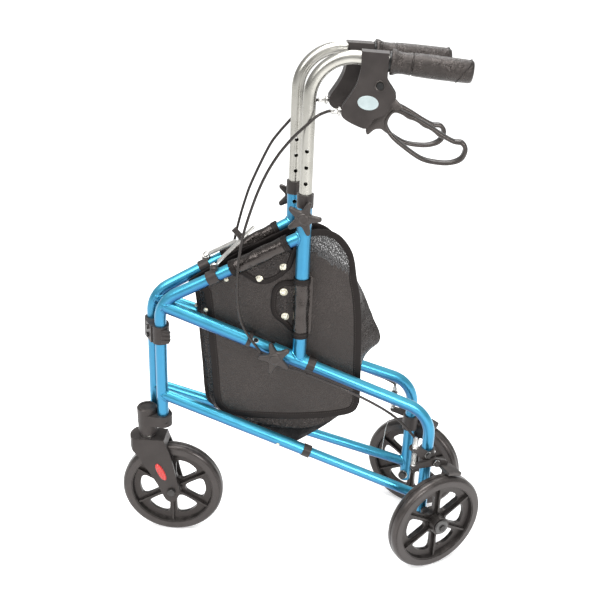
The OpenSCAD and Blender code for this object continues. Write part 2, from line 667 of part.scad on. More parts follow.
// Rear brake: bracket clamped on the leg, with the pivot pin and the cable's adjuster
module brake_bracket() {
  color(BLACK) at_wheel() {
    difference() {
      union() {
        translate([0, 0, 208]) cylinder(r = tube_r + 4, h = 30);
        plate(arm_plane[0] - 6, arm_plane[0] - 2) {
          taper(brake_pivot, 9, [-22, 240], 9);
          taper([-22, 240], 9, arm_tip + [0, adjuster_z - arm_tip[1]], 7);
        }
        plate(0, arm_plane[0] - 2) taper([0, 213], 5, [0, 233], 5);
      }
      translate([0, 0, 180]) cylinder(r = tube_r + seam, h = 90);
    }
    translate([arm_plane[0] - 6, arm_tip[0], adjuster_z]) rotate([0, 90, 0]) cylinder(r = 5.5, h = 14);
    translate([arm_plane[0] + 3, arm_tip[0], adjuster_z]) cylinder(r = 3.4, h = 14);
    outwards(brake_pivot[0], brake_pivot[1]) {
      translate([0, 0, arm_plane[0] - 4]) cylinder(r = pin_r, h = 14);
      translate([0, 0, arm_plane[1] + 4.2]) cylinder(r = 5.5, h = 2.6);
    }
  }
}
// Rocker arm: the cable lifts its front end, and its rear end carries the pad over the tyre
module brake_arm() {
  pad_r = wheel_r + pad_gap;
  color(BLACK) at_wheel() difference() {
    union() {
      plate(arm_plane[0], arm_plane[1]) {
        taper(brake_pivot, 8, arm_tip, 5);
        taper(brake_pivot, 8, [24, 212], 7);
      }
      intersection() {
        plate(arm_plane[0], wheel_out + 10) translate([14, 190]) square([29, 34]);
        translate([0, 0, wheel_r]) rotate([0, 90, 0]) ring(pad_r + 6.5, pad_r, 100);
      }
    }
    outwards(brake_pivot[0], brake_pivot[1]) cylinder(r = pin_r + fit, h = 80);
  }
}
// Return spring between the adjuster and the arm, wound round the inner wire
module brake_spring() {
  color(STEEL) at_wheel() swept(spring_points, spring_wire, 6);
}

// Handle tube: upright in the post, then bent back to carry the grip
module handle_rod(r, spare) {
  reach = (grip_start + grip_l - 4 - handle_start) / cos(handle_drop);
  translate([0, post_s, handle_foot - spare]) cylinder(r = r, h = handle_bend_z - handle_foot + spare);
  bend(post_s + handle_bend_r, handle_bend_z, handle_bend_r, 0, handle_turn, r);
  along(handle_start, handle_height(handle_start), -handle_drop) cylinder(r = r, h = reach + spare);
}
module handle_tube() {
  color(SILVER) difference() {
    handle_rod(tube_r, 0);
    handle_rod(tube_r - tube_wall, 1);
    for (k = [-3:4]) outwards(post_s, knob_z + k * hole_pitch)
      cylinder(r = 3.4, h = 80, center = true);
  }
}
module on_handle(s) {
  along(s, handle_height(s), -handle_drop) children();
}
module grip() {
  half_bulge = grip_l / 2;
  color(BLACK) on_handle(grip_start) difference() {
    rotate_extrude() polygon([[tube_r + seam, 0], [19.5, 0], [20.5, 1.5], [20.5, 5], [18.6, 9], [17.1, 16],
      [16.9, 24], [17.8, 34], [18.6, half_bulge], [18.4, grip_l * 0.8], [18, grip_l - 6], [16.2, grip_l - 1.5],
      [12, grip_l], [0, grip_l], [0, grip_l - 3], [tube_r + seam, grip_l - 3]]);
    translate([0, 0, 34]) rotate_extrude() translate([18.4, 0]) circle(0.8);
  }
}
// Lever housing: two cheeks and a head clamped on the handle tube, with a slot for the lever
module lever_housing() {
  color(BLACK) difference() {
    plate(-housing_half, housing_half) polygon([for (k = [0:housing_steps])
      spline(housing_outline, k * (len(housing_outline) - 1) / housing_steps)]);
    on_handle(post_s) cylinder(r = tube_r + seam, h = 200);
    plate(-slot_half, slot_half)
      polygon([[340, 938], [396, 938], [420, 900], [420, 830], [340, 830], [330, 868], [332, 895]]);
    outwards(lever_pivot[0], lever_pivot[1]) cylinder(r = pin_r + fit, h = 100, center = true);
    plate(-4, 4) translate([300, 866]) square([40, 9]);
  }
  color(SILVER) along(cable_port[0], cable_port[1], 0) difference() {
    union() {
      cylinder(r = 4.5, h = 12);
      translate([0, 0, 1]) cylinder(r = 3.9, h = 21);
      translate([0, 0, 11.6]) cylinder(r = 7.2, h = 3.4);
    }
    translate([0, 0, -1]) cylinder(r = 2.7, h = 30);
  }
}
module lever_pin() {
  color(STEEL) outwards(lever_pivot[0], lever_pivot[1]) {
    cylinder(r = pin_r, h = 2 * housing_half + 1, center = true);
    for (z = [housing_half + 0.3, -housing_half - 2.3]) translate([0, 0, z]) cylinder(r = 5.6, h = 2);
  }
}
// Brake lever: pivot boss and finger loop
module brake_lever() {
  loop = [for (k = [0:loop_steps - 1]) loop_spline(loop_points, k * len(loop_points) / loop_steps)];
  out = [for (k = [0:loop_steps - 1])
    let (way = unit(loop[(k + 1) % loop_steps] - loop[(k + loop_steps - 1) % loop_steps])) [-way[1], way[0]]];
  color(BLACK) difference() {
    union() {
      plate(-lever_half, lever_half) difference() {
        polygon([for (k = [0:loop_steps - 1]) loop[k] + loop_band * out[k]]);
        polygon([for (k = [0:loop_steps - 1]) loop[k] - loop_band * out[k]]);
      }
      plate(0.3 - lever_half, lever_half - 0.3) difference() {
        union() {
          translate(lever_pivot) circle(11);
          polygon(lever_neck);
        }
        polygon([for (k = [0:loop_steps - 1]) loop[k] - (loop_band - 0.3) * out[k]]);
      }
    }
    outwards(lever_pivot[0], lever_pivot[1]) cylinder(r = pin_r + fit, h = 100, center = true);
  }
}

// Star knob on a clamping screw, along Z from the tube's axis
module star_knob(surface, tip, turn) {
  color(BLACK) {
    translate([0, 0, surface + air]) cylinder(r = 9.5, h = 9);
    translate([0, 0, surface + 8]) linear_extrude(11) {
      circle(13);
      for (k = [0:4]) rotate(72 * k + turn) taper([10, 0], 7.5, [knob_tip - 4.2, 0], 4.2);
    }
    translate([0, 0, surface + 18.9]) cylinder(r1 = 10, r2 = 8, h = 2.6);
  }
  color(STEEL) translate([0, 0, tip]) cylinder(r = screw_r, h = surface + 6 - tip);
}
module height_knob() {
  outwards(post_s, knob_z) star_knob(post_r, tube_r + air, 18);
}
module rail_knob() {
  outwards(rail_knob_s, mid_height(rail_knob_s)) star_knob(sleeve_r, tube_r + air, 198);
}

// Brake cable, with the ferrules on its ends
module brake_cable(route) {
  last = len(route) - 1;
  path = [for (k = [0:cable_rings - 1]) spline(route, k * last / (cable_rings - 1))];
  color(BLACK) swept(path, cable_r, cable_sides);
}
module right_wire_tail() {
  last = len(tail_points) - 1;
  color(STEEL) right() at_wheel()
    swept([for (k = [0:17]) spline(tail_points, k * last / 17)], tail_r, 8);
}

// Bag: stiff side panels with a binding, the straps that hold them on the tubes, and their snaps
module bag_panel() {
  color(VINYL) plate(panel_out - panel_t / 2, panel_out + panel_t / 2) polygon(panel_points);
}
module bag_straps() {
  strap_t = 1.6;
  sheet = [panel_out + panel_t / 2 + 0.1, panel_out + panel_t / 2 + 0.1 + strap_t];
  color(VINYL) {
    along(134, upper_height(134), upper_rise) ring(tube_r + 1 + strap_t, tube_r + 0.3, 112);
    translate([0, post_s, 457]) ring(post_r + 0.3 + strap_t, post_r + 0.3, 116);
    difference() {
      plate(sheet[0], sheet[1]) {
        polygon(rail_flap);
        polygon(post_flap);
      }
      along(100, upper_height(100), upper_rise) cylinder(r = tube_r + 0.3, h = 200);
      translate([0, post_s, 400]) cylinder(r = post_r + 0.3, h = 300);
    }
  }
}
module snaps() {
  strap_face = panel_out + panel_t / 2 + 1.7;
  color(SILVER) {
    for (p = snap_points) outwards(p[0], p[1])
      translate([0, 0, strap_face + seam]) cylinder(r1 = 5.6, r2 = 3.5, h = 2.4);
    for (p = stud_points) outwards(p[0], p[1])
      translate([0, 0, panel_out + panel_t / 2 + seam]) cylinder(r1 = 4, r2 = 2.6, h = 2);
    along(226, low_height(226), -rail_drop) rotate([90, 0, 110]) translate([0, 0, low_rail_r + seam])
      cylinder(r1 = 3.4, r2 = 2, h = 2.2);
  }
}
// Soft gusset that joins the panels round the front, bottom and rear, open at the top. Each row of the outline
// holds the panel's edge and the ridge in the middle, both as (distance rearwards, height).
module bag_gusset() {
  edge = panel_out - panel_t / 2 - 0.6;
  middle = [0, hinge_y + bag_middle[0], bag_middle[1]];
  rows = [for (g = gusset_rows)
    let (a = left_point([edge, g[0], g[1]]),
         c = right_point([edge, g[0], g[1]]),
         m = [0, hinge_y + g[2], g[3]])
    concat([a, m, c], [for (q = [c, m, a]) q + gusset_t * unit(middle - [0, q[1], q[2]])])];
  color(VINYL) loft(rows);
}

head_block();
upper_bracket();
hinge_bolts();
caster_fork();
caster_hardware();
front_tyre();
front_rim();
bag_gusset();
pull_tab();
right_wire_tail();
left() main_tube();  // left_main_tube
left() post();  // left_post
left() side_rails();  // left_side_rails
left() tube_bushes();  // left_tube_bushes
left_link_clamp();
left_link();
left() brake_cable(left_cable);  // left_brake_cable
left() bag_panel();  // left_bag_panel
left() bag_straps();  // left_bag_straps
left() snaps();  // left_snaps
left() rear_leg();  // left_rear_leg
left() rear_brace();  // left_rear_brace
left() brake_bracket();  // left_brake_bracket
left() brake_arm();  // left_brake_arm
left() brake_spring();  // left_brake_spring
left() wheel_axle();  // left_wheel_axle
left() tyre();  // left_tyre
left() rim();  // left_rim
left() handle_tube();  // left_handle_tube
left() lever_housing();  // left_lever_housing
left() lever_pin();  // left_lever_pin
left() brake_lever();  // left_brake_lever
left() grip();  // left_grip
left() height_knob();  // left_height_knob
left() rail_knob();  // left_rail_knob
right() main_tube();  // right_main_tube
right() post();  // right_post
right() side_rails();  // right_side_rails
right() tube_bushes();  // right_tube_bushes
right_link_clamp();
right_link();
right() brake_cable(right_cable);  // right_brake_cable
right() bag_panel();  // right_bag_panel
right() bag_straps();  // right_bag_straps
right() snaps();  // right_snaps
right() rear_leg();  // right_rear_leg
right() rear_brace();  // right_rear_brace
right() brake_bracket();  // right_brake_bracket
right() brake_arm();  // right_brake_arm
right() brake_spring();  // right_brake_spring
right() wheel_axle();  // right_wheel_axle
right() tyre();  // right_tyre
right() rim();  // right_rim
right() handle_tube();  // right_handle_tube
right() lever_housing();  // right_lever_housing
right() lever_pin();  // right_lever_pin
right() brake_lever();  // right_brake_lever
right() grip();  // right_grip
right() height_knob();  // right_height_knob
right() rail_knob();  // right_rail_knob
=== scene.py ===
"""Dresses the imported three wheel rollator: soft bag, cables, knobs, levers, grips, fittings and finishes."""
import math

import bmesh
import bpy
from mathutils import Matrix, Vector, noise


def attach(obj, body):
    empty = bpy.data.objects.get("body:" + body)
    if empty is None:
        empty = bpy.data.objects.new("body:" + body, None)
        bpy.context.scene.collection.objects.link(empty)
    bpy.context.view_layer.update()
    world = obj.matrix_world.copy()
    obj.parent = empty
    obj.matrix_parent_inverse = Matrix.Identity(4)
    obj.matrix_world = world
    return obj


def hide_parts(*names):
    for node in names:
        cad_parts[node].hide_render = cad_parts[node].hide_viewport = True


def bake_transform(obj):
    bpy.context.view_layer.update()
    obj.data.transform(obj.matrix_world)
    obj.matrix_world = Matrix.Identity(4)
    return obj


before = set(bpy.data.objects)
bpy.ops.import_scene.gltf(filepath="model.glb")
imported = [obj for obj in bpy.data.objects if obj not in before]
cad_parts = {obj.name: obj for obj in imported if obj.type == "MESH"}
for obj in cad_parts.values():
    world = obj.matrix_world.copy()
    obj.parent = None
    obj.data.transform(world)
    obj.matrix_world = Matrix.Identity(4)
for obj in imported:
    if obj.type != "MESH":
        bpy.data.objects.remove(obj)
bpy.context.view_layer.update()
scene = bpy.context.scene

# Measures are in millimetres and follow the part's source
MM = 0.001
UP = Vector((0, 0, 1))
OUT = Vector((1, 0, 0))
REST_ANGLE = math.radians(4.5)
WHEEL_TURN = math.radians(32)
HINGE_X = 18.272
HINGE_DY = 9.512
HINGE_Y = -277.911
LEG_S = 509.8
POST_S = 257.5
WHEEL_OUT = 45.6
WHEEL_R = 100
HANDLE_TOP = 963
HANDLE_DROP = math.radians(4.3)
UPPER_BASE = 506
UPPER_RISE = math.radians(29.4)
MID_BASE = 502
LOW_BASE = 314
RAIL_DROP = math.radians(20.4)
TUBE_R = 11
POST_R = 12.7
MID_RAIL_R = 12.56
LOW_RAIL_R = 11.06
BRACE_R = 9.5
SLEEVE_R = 14.1
KNOB_Z = 691
RAIL_KNOB_S = 216
LINK_S = 100
LINK_LIFT = 21
GRIP_START = 384.5
HEAD_TURN = math.radians(27.5)
STEM = Vector((25 * math.sin(HEAD_TURN), HINGE_Y - 25 * math.cos(HEAD_TURN), 0))
CASTER_TURN = math.radians(-3)
CASTER_TRAIL = 47.5


def upper_height(s):
    return UPPER_BASE + s * math.tan(UPPER_RISE)


def mid_height(s):
    return MID_BASE - s * math.tan(RAIL_DROP)


def low_height(s):
    return LOW_BASE - s * math.tan(RAIL_DROP)


def handle_height(s):
    return HANDLE_TOP - (s - POST_S) * math.tan(HANDLE_DROP)


class Side:
    """One side frame. Places points given as (outwards, rearwards, height)."""

    def __init__(self, name, sign):
        self.name = name
        self.out = Vector((sign * math.cos(REST_ANGLE), -math.sin(REST_ANGLE), 0))
        self.back = Vector((sign * math.sin(REST_ANGLE), math.cos(REST_ANGLE), 0))
        self.foot = Vector((sign * HINGE_X, HINGE_Y + sign * HINGE_DY, 0))

    def at(self, o, s, z):
        return (self.foot + self.out * o + self.back * s + UP * z) * MM

    def wheel(self, o, s, z):
        """A point given from the rear leg's foot: out along the axle, rearwards, up."""
        cos, sin = math.cos(WHEEL_TURN), math.sin(WHEEL_TURN)
        return self.at(o * cos - s * sin, LEG_S + o * sin + s * cos, z)

    def body(self, part):
        return f"{self.name}_{part}"


LEFT = Side("left", 1)
RIGHT = Side("right", -1)
SIDES = (LEFT, RIGHT)


def at_caster(x, y, z):
    cos, sin = math.cos(CASTER_TURN), math.sin(CASTER_TURN)
    return (STEM + Vector((x * cos - y * sin, x * sin + y * cos, z))) * MM


def in_place(x, y, z):
    return Vector((x, y, z)) * MM


# Camera at the photograph's angle: turn, rise and roll in degrees, then metres
CAMERA_TURN = (-0.756, 24.395, 2.309)
CAMERA_AIM = Vector((0, -0.01343, 0.5109))
CAMERA_AWAY = 1.65451


def set_camera():
    yaw, rise, roll = (math.radians(a) for a in CAMERA_TURN)
    back = Vector((math.cos(yaw) * math.cos(rise), math.sin(yaw) * math.cos(rise), math.sin(rise)))
    right = (-back).cross(UP).normalized()
    up = right.cross(-back)
    level = right * math.cos(roll) + up * math.sin(roll)
    tall = up * math.cos(roll) - right * math.sin(roll)
    data = bpy.data.cameras.new("camera")
    data.sensor_width = 36
    data.lens = 54.02
    data.clip_end = 200
    camera = bpy.data.objects.new("camera", data)
    place = Matrix.Translation(CAMERA_AIM + back * CAMERA_AWAY)
    camera.matrix_world = place @ Matrix((level, tall, back)).transposed().to_4x4()
    scene.collection.objects.link(camera)
    scene.camera = camera


set_camera()


# Curves and meshes
def spline(points, count, closed=False):
    """Evenly counted points on a smooth curve through the given ones."""
    points = [Vector(p) for p in points]
    n = len(points)
    spans = n if closed else n - 1
    made = []
    for i in range(count):
        t = i * spans / (count if closed else count - 1)
        k = min(int(t), spans - 1)
        f = t - k
        near = range(k - 1, k + 3)
        a, b, c, d = (points[j % n if closed else min(max(j, 0), n - 1)] for j in near)
        made.append((2 * b + (c - a) * f + (2 * a - 5 * b + 4 * c - d) * f * f
                     + (3 * b - a - 3 * c + d) * f ** 3) / 2)
    return made


def angles(count):
    return [2 * math.pi * k / count for k in range(count)]


def around(axis, a):
    """The direction at an angle round an axis, from straight outwards."""
    return OUT * math.cos(a) + axis.cross(OUT) * math.sin(a)


def rounded(half_u, half_v, count, power=3.0):
    """A rounded oblong as (u, v) points."""
    made = []
    for a in angles(count):
        c, s = math.cos(a), math.sin(a)
        made.append((half_u * math.copysign(abs(c) ** (2 / power), c),
                     half_v * math.copysign(abs(s) ** (2 / power), s)))
    return made


def leaning(points, lean):
    """Turns (u, v) points by an angle."""
    cos, sin = math.cos(lean), math.sin(lean)
    return [(u * cos - v * sin, u * sin + v * cos) for u, v in points]


def circle(r, count):
    return [(r * math.cos(a), r * math.sin(a)) for a in angles(count)]


def sweep(path, section, closed=False):
    """Rings square to a path. section(i) gives the (u, v) points of the ring at path[i]."""
    n = len(path)
    rings = []
    normal = None
    for i, p in enumerate(path):
        ahead = path[(i + 1) % n] if closed else path[min(i + 1, n - 1)]
        behind = path[i - 1] if closed else path[max(i - 1, 0)]
        way = (ahead - behind).normalized()
        if normal is None:
            normal = OUT if abs(way.x) < 0.9 else way.orthogonal().normalized()
        normal = (normal - way * normal.dot(way)).normalized()
        side = way.cross(normal)
        rings.append([p + normal * u + side * v for u, v in section(i)])
    return rings


def loop_area(outline):
    """Area of a closed outline, below zero where it runs clockwise."""
    return sum(a[0] * b[1] - b[0] * a[1] for a, b in zip(outline[-1:] + outline[:-1], outline)) / 2


def inset_line(outline, inset):
    """A closed outline moved inwards."""
    n = len(outline)
    turn = inset if loop_area(outline) > 0 else -inset
    made = []
    for k in range(n):
        a, b = outline[k - 1], outline[(k + 1) % n]
        dx, dy = b[0] - a[0], b[1] - a[1]
        length = math.hypot(dx, dy) or 1
        made.append((outline[k][0] - turn * dy / length, outline[k][1] + turn * dx / length))
    return made


def smooth_outline(points, count):
    return [(p.x, p.y) for p in spline([(s, z, 0) for s, z in points], count, closed=True)]


class Shape:
    """Collects closed skins, then makes one mesh of them."""

    def __init__(self):
        self.points = []
        self.faces = []

    def skin(self, rings, loop=False):
        """Joins rings of points, into a closed loop or with a cap at each end."""
        base = len(self.points)
        n = len(rings[0])
        rows = len(rings)
        for ring in rings:
            self.points.extend(Vector(p) for p in ring)
        for i in range(rows if loop else rows - 1):
            a = base + i * n
            b = base + (i + 1) % rows * n
            self.faces.extend((a + k, a + (k + 1) % n, b + (k + 1) % n, b + k) for k in range(n))
        if not loop:
            self.faces.append(tuple(range(base, base + n)))
            self.faces.append(tuple(range(base + (rows - 1) * n, base + rows * n)))
        return self

    def lathe(self, profile, foot, axis, count=40):
        """Turns (radius, height) points round an axis that starts at foot."""
        axis = Vector(axis).normalized()
        u = axis.orthogonal().normalized()
        v = axis.cross(u)
        foot = Vector(foot)
        tip = 0.01
        rings = []
        for r, h in profile:
            rings.append([foot + axis * h + (u * x + v * y) for x, y in circle(max(r, tip), count)])
        return self.skin(rings)

    def prism(self, r, sides, low, high, foot, axis, bevel=0.5):
        """A prism with softened ends, such as a nut or a bolt head."""
        profile = [(r - bevel, low), (r, low + bevel), (r, high - bevel), (r - bevel, high)]
        return self.lathe(profile, foot, axis, sides)

    def tube(self, path, r, sides=12):
        return self.skin(sweep(path, lambda i: circle(r, sides)))

    def hoop(self, path, section):
        """A closed ring of one section along a path."""
        return self.skin(sweep(path, lambda i: section, closed=True), loop=True)

    def plate(self, outline, low, high, edge=0.6):
        """A plate in the side frame's plane with rounded edges, from outline points (rearwards, height)."""
        rings = []
        for inset, o in ((edge, low), (edge * 0.3, low + edge * 0.3), (0, low + edge), (0, high - edge),
                         (edge * 0.3, high - edge * 0.3), (edge, high)):
            rings.append([(o, s, z) for s, z in inset_line(outline, inset)])
        return self.skin(rings)

    def make(self, name, place, surface, sharp=38):
        mesh = bpy.data.meshes.new(name)
        mesh.from_pydata([place(*p) for p in self.points], [], self.faces)
        shell = bmesh.new()
        shell.from_mesh(mesh)
        bmesh.ops.recalc_face_normals(shell, faces=shell.faces)
        shell.to_mesh(mesh)
        shell.free()
        mesh.polygons.foreach_set("use_smooth", [True] * len(mesh.polygons))
        mesh.set_sharp_from_angle(angle=math.radians(sharp))
        mesh.materials.append(surface)
        obj = bpy.data.objects.new(name, mesh)
        scene.collection.objects.link(obj)
        return obj


def ride(obj, body, nodes=()):
    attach(obj, body)
    if nodes:
        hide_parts(*nodes)
    return obj


def put_on(side, shape, name, surface, body, stands_for=(), place=None):
    """Makes a side's piece, which rides on one of the side's bodies and may stand for its nodes."""
    obj = shape.make(side.body(name), place or side.at, surface)
    return ride(obj, side.body(body), [side.body(part) for part in stands_for])


# Shared surface effects as node groups
def new_group(name, inputs, outputs):
    """A node group, with the sockets that it is given and those that it puts out."""
    tree = bpy.data.node_groups.new(name, "ShaderNodeTree")
    for label, value in inputs:
        socket = tree.interface.new_socket(label, in_out="INPUT", socket_type="NodeSocketFloat")
        socket.default_value = value
    for label in outputs:
        tree.interface.new_socket(label, in_out="OUTPUT", socket_type="NodeSocketFloat")
    return tree, tree.nodes.new("NodeGroupInput").outputs, tree.nodes.new("NodeGroupOutput").inputs


def node(tree, kind, links=(), **settings):
    """Adds a node. links are (input, output socket or value)."""
    made = tree.nodes.new("ShaderNode" + kind)
    for key, value in settings.items():
        setattr(made, key, value)
    for key, source in links:
        if hasattr(source, "is_output"):
            tree.links.new(source, made.inputs[key])
        else:
            made.inputs[key].default_value = source
    return made


def spread(tree, value, low, high):
    """A value moved from between two limits to between 0 and 1."""
    links = [("Value", value), ("From Min", low), ("From Max", high)]
    return node(tree, "MapRange", links).outputs["Result"]


def times(tree, a, b, clamp=False):
    return node(tree, "Math", [(0, a), (1, b)], operation="MULTIPLY", use_clamp=clamp).outputs[0]


def surface_point(tree):
    return node(tree, "TexCoord").outputs["Object"]


def cloud(tree, scale, detail):
    links = [("Vector", surface_point(tree)), ("Scale", scale), ("Detail", detail)]
    return node(tree, "TexNoise", links).outputs["Fac"]


def facing_up(tree, low, high):
    """How far a face looks up, between two limits."""
    normal = node(tree, "NewGeometry").outputs["Normal"]
    return spread(tree, node(tree, "SeparateXYZ", [("Vector", normal)]).outputs["Z"], low, high)


def make_patches():
    """Soft blotches between two limits, for uneven colour and gloss."""
    tree, given, out = new_group("patches", [("Scale", 40), ("Low", 0.4), ("High", 0.6)], ["Value"])
    tree.links.new(spread(tree, cloud(tree, given["Scale"], 4.0), given["Low"], given["High"]), out["Value"])
    return tree


def make_edge_wear_and_highlight():
    """Pale edges, broken up by noise: worn edges, and on the knobs a painted edge highlight."""
    tree, given, out = new_group("edge wear", [("Radius", 0.001), ("Amount", 1)], ["Mask"])
    soft = node(tree, "Bevel", [("Radius", given["Radius"])], samples=4)
    true = node(tree, "NewGeometry")
    same = node(tree, "VectorMath", [(0, soft.outputs["Normal"]), (1, true.outputs["Normal"])],
                operation="DOT_PRODUCT")
    edge = spread(tree, same.outputs["Value"], 0.99, 0.86)
    pale_edge = times(tree, edge, spread(tree, cloud(tree, 160.0, 5.0), 0.42, 0.68))
    tree.links.new(times(tree, pale_edge, given["Amount"], clamp=True), out["Mask"])
    return tree


def make_dust():
    """Dust on faces that look up."""
    tree, given, out = new_group("settled dust", [("Scale", 60), ("Amount", 0.3)], ["Mask"])
    thin = spread(tree, cloud(tree, given["Scale"], 6.0), 0.4, 0.75)
    lying = times(tree, facing_up(tree, 0.35, 1.0), thin)
    tree.links.new(times(tree, lying, given["Amount"], clamp=True), out["Mask"])
    return tree


def make_underside_shade():
    """Faces that look down, as a mask for painted shade."""
    tree, given, out = new_group("underside", [("Amount", 1)], ["Mask"])
    tree.links.new(times(tree, facing_up(tree, 0.85, -0.45), given["Amount"]), out["Mask"])
    return tree


def make_mark():
    """A round mark at one place on a piece."""
    tree, given, out = new_group("round mark", [("X", 0), ("Y", 0), ("Z", 0), ("Radius", 0.004)], ["Mask"])
    centre = node(tree, "CombineXYZ", [(axis, given[axis]) for axis in "XYZ"])
    away = node(tree, "VectorMath", [(0, surface_point(tree)), (1, centre.outputs["Vector"])],
                operation="DISTANCE")
    mask = node(tree, "Math", [(0, away.outputs["Value"]), (1, given["Radius"])], operation="LESS_THAN")
    tree.links.new(mask.outputs[0], out["Mask"])
    return tree


def make_pebble():
    """Pebbled leather grain: raised cells and the creases between them."""
    tree, given, out = new_group("pebble", [("Scale", 500), ("Jitter", 0.9)], ["Height", "Crease"])
    where = surface_point(tree)
    bend = node(tree, "TexNoise", [("Vector", where), ("Scale", 90.0), ("Detail", 2.0)])
    shift = node(tree, "VectorMath", [(0, bend.outputs["Color"]), ("Scale", 0.004)], operation="SCALE")
    moved = node(tree, "VectorMath", [(0, where), (1, shift.outputs["Vector"])], operation="ADD")
    cells = node(tree, "TexVoronoi", [("Vector", moved.outputs["Vector"]), ("Scale", given["Scale"]),
                                      ("Randomness", given["Jitter"])], feature="DISTANCE_TO_EDGE")
    crease = node(tree, "MapRange", [("Value", cells.outputs["Distance"]), ("From Max", 0.22)],
                  interpolation_type="SMOOTHSTEP").outputs["Result"]
    height = node(tree, "Math", [(0, cloud(tree, 1600.0, 2.0)), (1, 0.05), (2, crease)],
                  operation="MULTIPLY_ADD")
    tree.links.new(height.outputs[0], out["Height"])
    tree.links.new(crease, out["Crease"])
    return tree


def make_speckle():
    """Fine texture of moulded plastic, rubber or bead-blasted metal."""
    tree, given, out = new_group("speckle", [("Scale", 900), ("Streak", 1)], ["Height"])
    parts = node(tree, "SeparateXYZ", [("Vector", surface_point(tree))]).outputs
    drawn = times(tree, parts["Z"], given["Streak"])
    joined = node(tree, "CombineXYZ", [("X", parts["X"]), ("Y", parts["Y"]), ("Z", drawn)])
    fine = node(tree, "TexNoise", [("Vector", joined.outputs["Vector"]), ("Scale", given["Scale"]),
                                   ("Detail", 3.0)])
    tree.links.new(fine.outputs["Fac"], out["Height"])
    return tree


PATCHES = make_patches()
EDGE_WEAR_AND_HIGHLIGHT = make_edge_wear_and_highlight()
DUST = make_dust()
UNDERSIDE_SHADE = make_underside_shade()
MARK = make_mark()
PEBBLE = make_pebble()
SPECKLE = make_speckle()
DUST_TONE = (0.28, 0.26, 0.24)
CREASE_SHADE = 0.45
WARM = (1.0, 0.88, 0.83)


def place_group(tree, group, **values):
    made = tree.nodes.new("ShaderNodeGroup")
    made.node_tree = group
    for key, value in values.items():
        made.inputs[key].default_value = value
    return made.outputs


def tint(tree, mask, below, colour):
    """Mixes a colour over another by a mask."""
    mix = node(tree, "Mix", data_type="RGBA")
    tree.links.new(mask, mix.inputs["Factor"])
    if hasattr(below, "is_output"):
        tree.links.new(below, mix.inputs["A"])
    else:
        mix.inputs["A"].default_value = (*below, 1)
    mix.inputs["B"].default_value = (*colour, 1)
    return mix.outputs["Result"]


def finish(name, colours, rough, metal=0.0, patch=40, wear_and_highlight=None, dust=0.0, grain=None, bump=0.3,
           depth=0.0001, coat=0.0, coat_rough=0.1, specular=0.5, tone=(1, 1, 1), under=None, marks=()):
    """A surface: two colours in patches, a range of roughness, pale edges (rubbed, and on the knobs a painted
    highlight), dust, painted shade on faces that look down, round marks and a bumped grain.
    """
    made = bpy.data.materials.new(name)
    made.use_nodes = True
    tree = made.node_tree
    shader = tree.nodes["Principled BSDF"]
    shader.inputs["Metallic"].default_value = metal
    shader.inputs["Specular IOR Level"].default_value = specular
    shader.inputs["Specular Tint"].default_value = (*tone, 1)
    shader.inputs["Coat Weight"].default_value = coat
    shader.inputs["Coat Roughness"].default_value = coat_rough
    patches = place_group(tree, PATCHES, Scale=patch, Low=0.35, High=0.65)["Value"]
    gloss = node(tree, "MapRange", [("Value", patches), ("To Min", rough[0]), ("To Max", rough[1])])
    below, above = colours
    if grain:
        group, values = grain
        texture = place_group(tree, group, **values)
        if group == PEBBLE:
            below = tint(tree, texture["Crease"], [c * CREASE_SHADE for c in colours[0]], colours[1])
            above = colours[0]
        relief = node(tree, "Bump", [("Strength", bump), ("Distance", depth), ("Height", texture["Height"])])
        tree.links.new(relief.outputs["Normal"], shader.inputs["Normal"])
    colour = tint(tree, patches, below, above)
    layers = []
    # under is a colour painted on faces that look down: painted shade.
    if under:
        layers.append((UNDERSIDE_SHADE, {}, under))
    if wear_and_highlight:
        layers.append((EDGE_WEAR_AND_HIGHLIGHT, {"Radius": wear_and_highlight[0], "Amount": wear_and_highlight[1]}, wear_and_highlight[2]))
    if dust:
        layers.append((DUST, {"Scale": 70, "Amount": dust}, DUST_TONE))
    for place, radius, ink in marks:
        layers.append((MARK, {"X": place.x, "Y": place.y, "Z": place.z, "Radius": radius}, ink))
    for group, values, paint in layers:
        colour = tint(tree, place_group(tree, group, **values)["Mask"], colour, paint)
    tree.links.new(colour, shader.inputs["Base Color"])
    tree.links.new(gloss.outputs["Result"], shader.inputs["Roughness"])
    return made


def speckle(scale, bump, streak=1, depth=0.0001):
    return {"grain": (SPECKLE, {"Scale": scale, "Streak": streak}), "bump": bump, "depth": depth}


def pebble(scale, jitter, bump, depth):
    return {"grain": (PEBBLE, {"Scale": scale, "Jitter": jitter}), "bump": bump, "depth": depth}


def blue_tube(name, marks=()):
    # Faces that look down turn dark blue: painted shade, so the tubes' tops read lighter.
    return finish(name, [(0.070, 0.42, 0.60), (0.085, 0.46, 0.64)], (0.3, 0.36), metal=0.85, patch=25,
                  under=(0.010, 0.085, 0.22), coat=0.3, coat_rough=0.2, marks=marks)


def leg_hole(side):
    """The unused spring-button hole in a sliding leg, painted on the tube: a pale ring round a near-black
    disc, which is painted shade for the hole's inside.
    """
    s = 175
    way = Vector((0.62, 0.27, 0.735)).normalized()
    place = side.at(*(Vector((0, s, mid_height(s))) + way * TUBE_R))
    return [(place, 0.0056, (0.42, 0.46, 0.48)), (place, 0.0042, (0.004, 0.005, 0.006))]


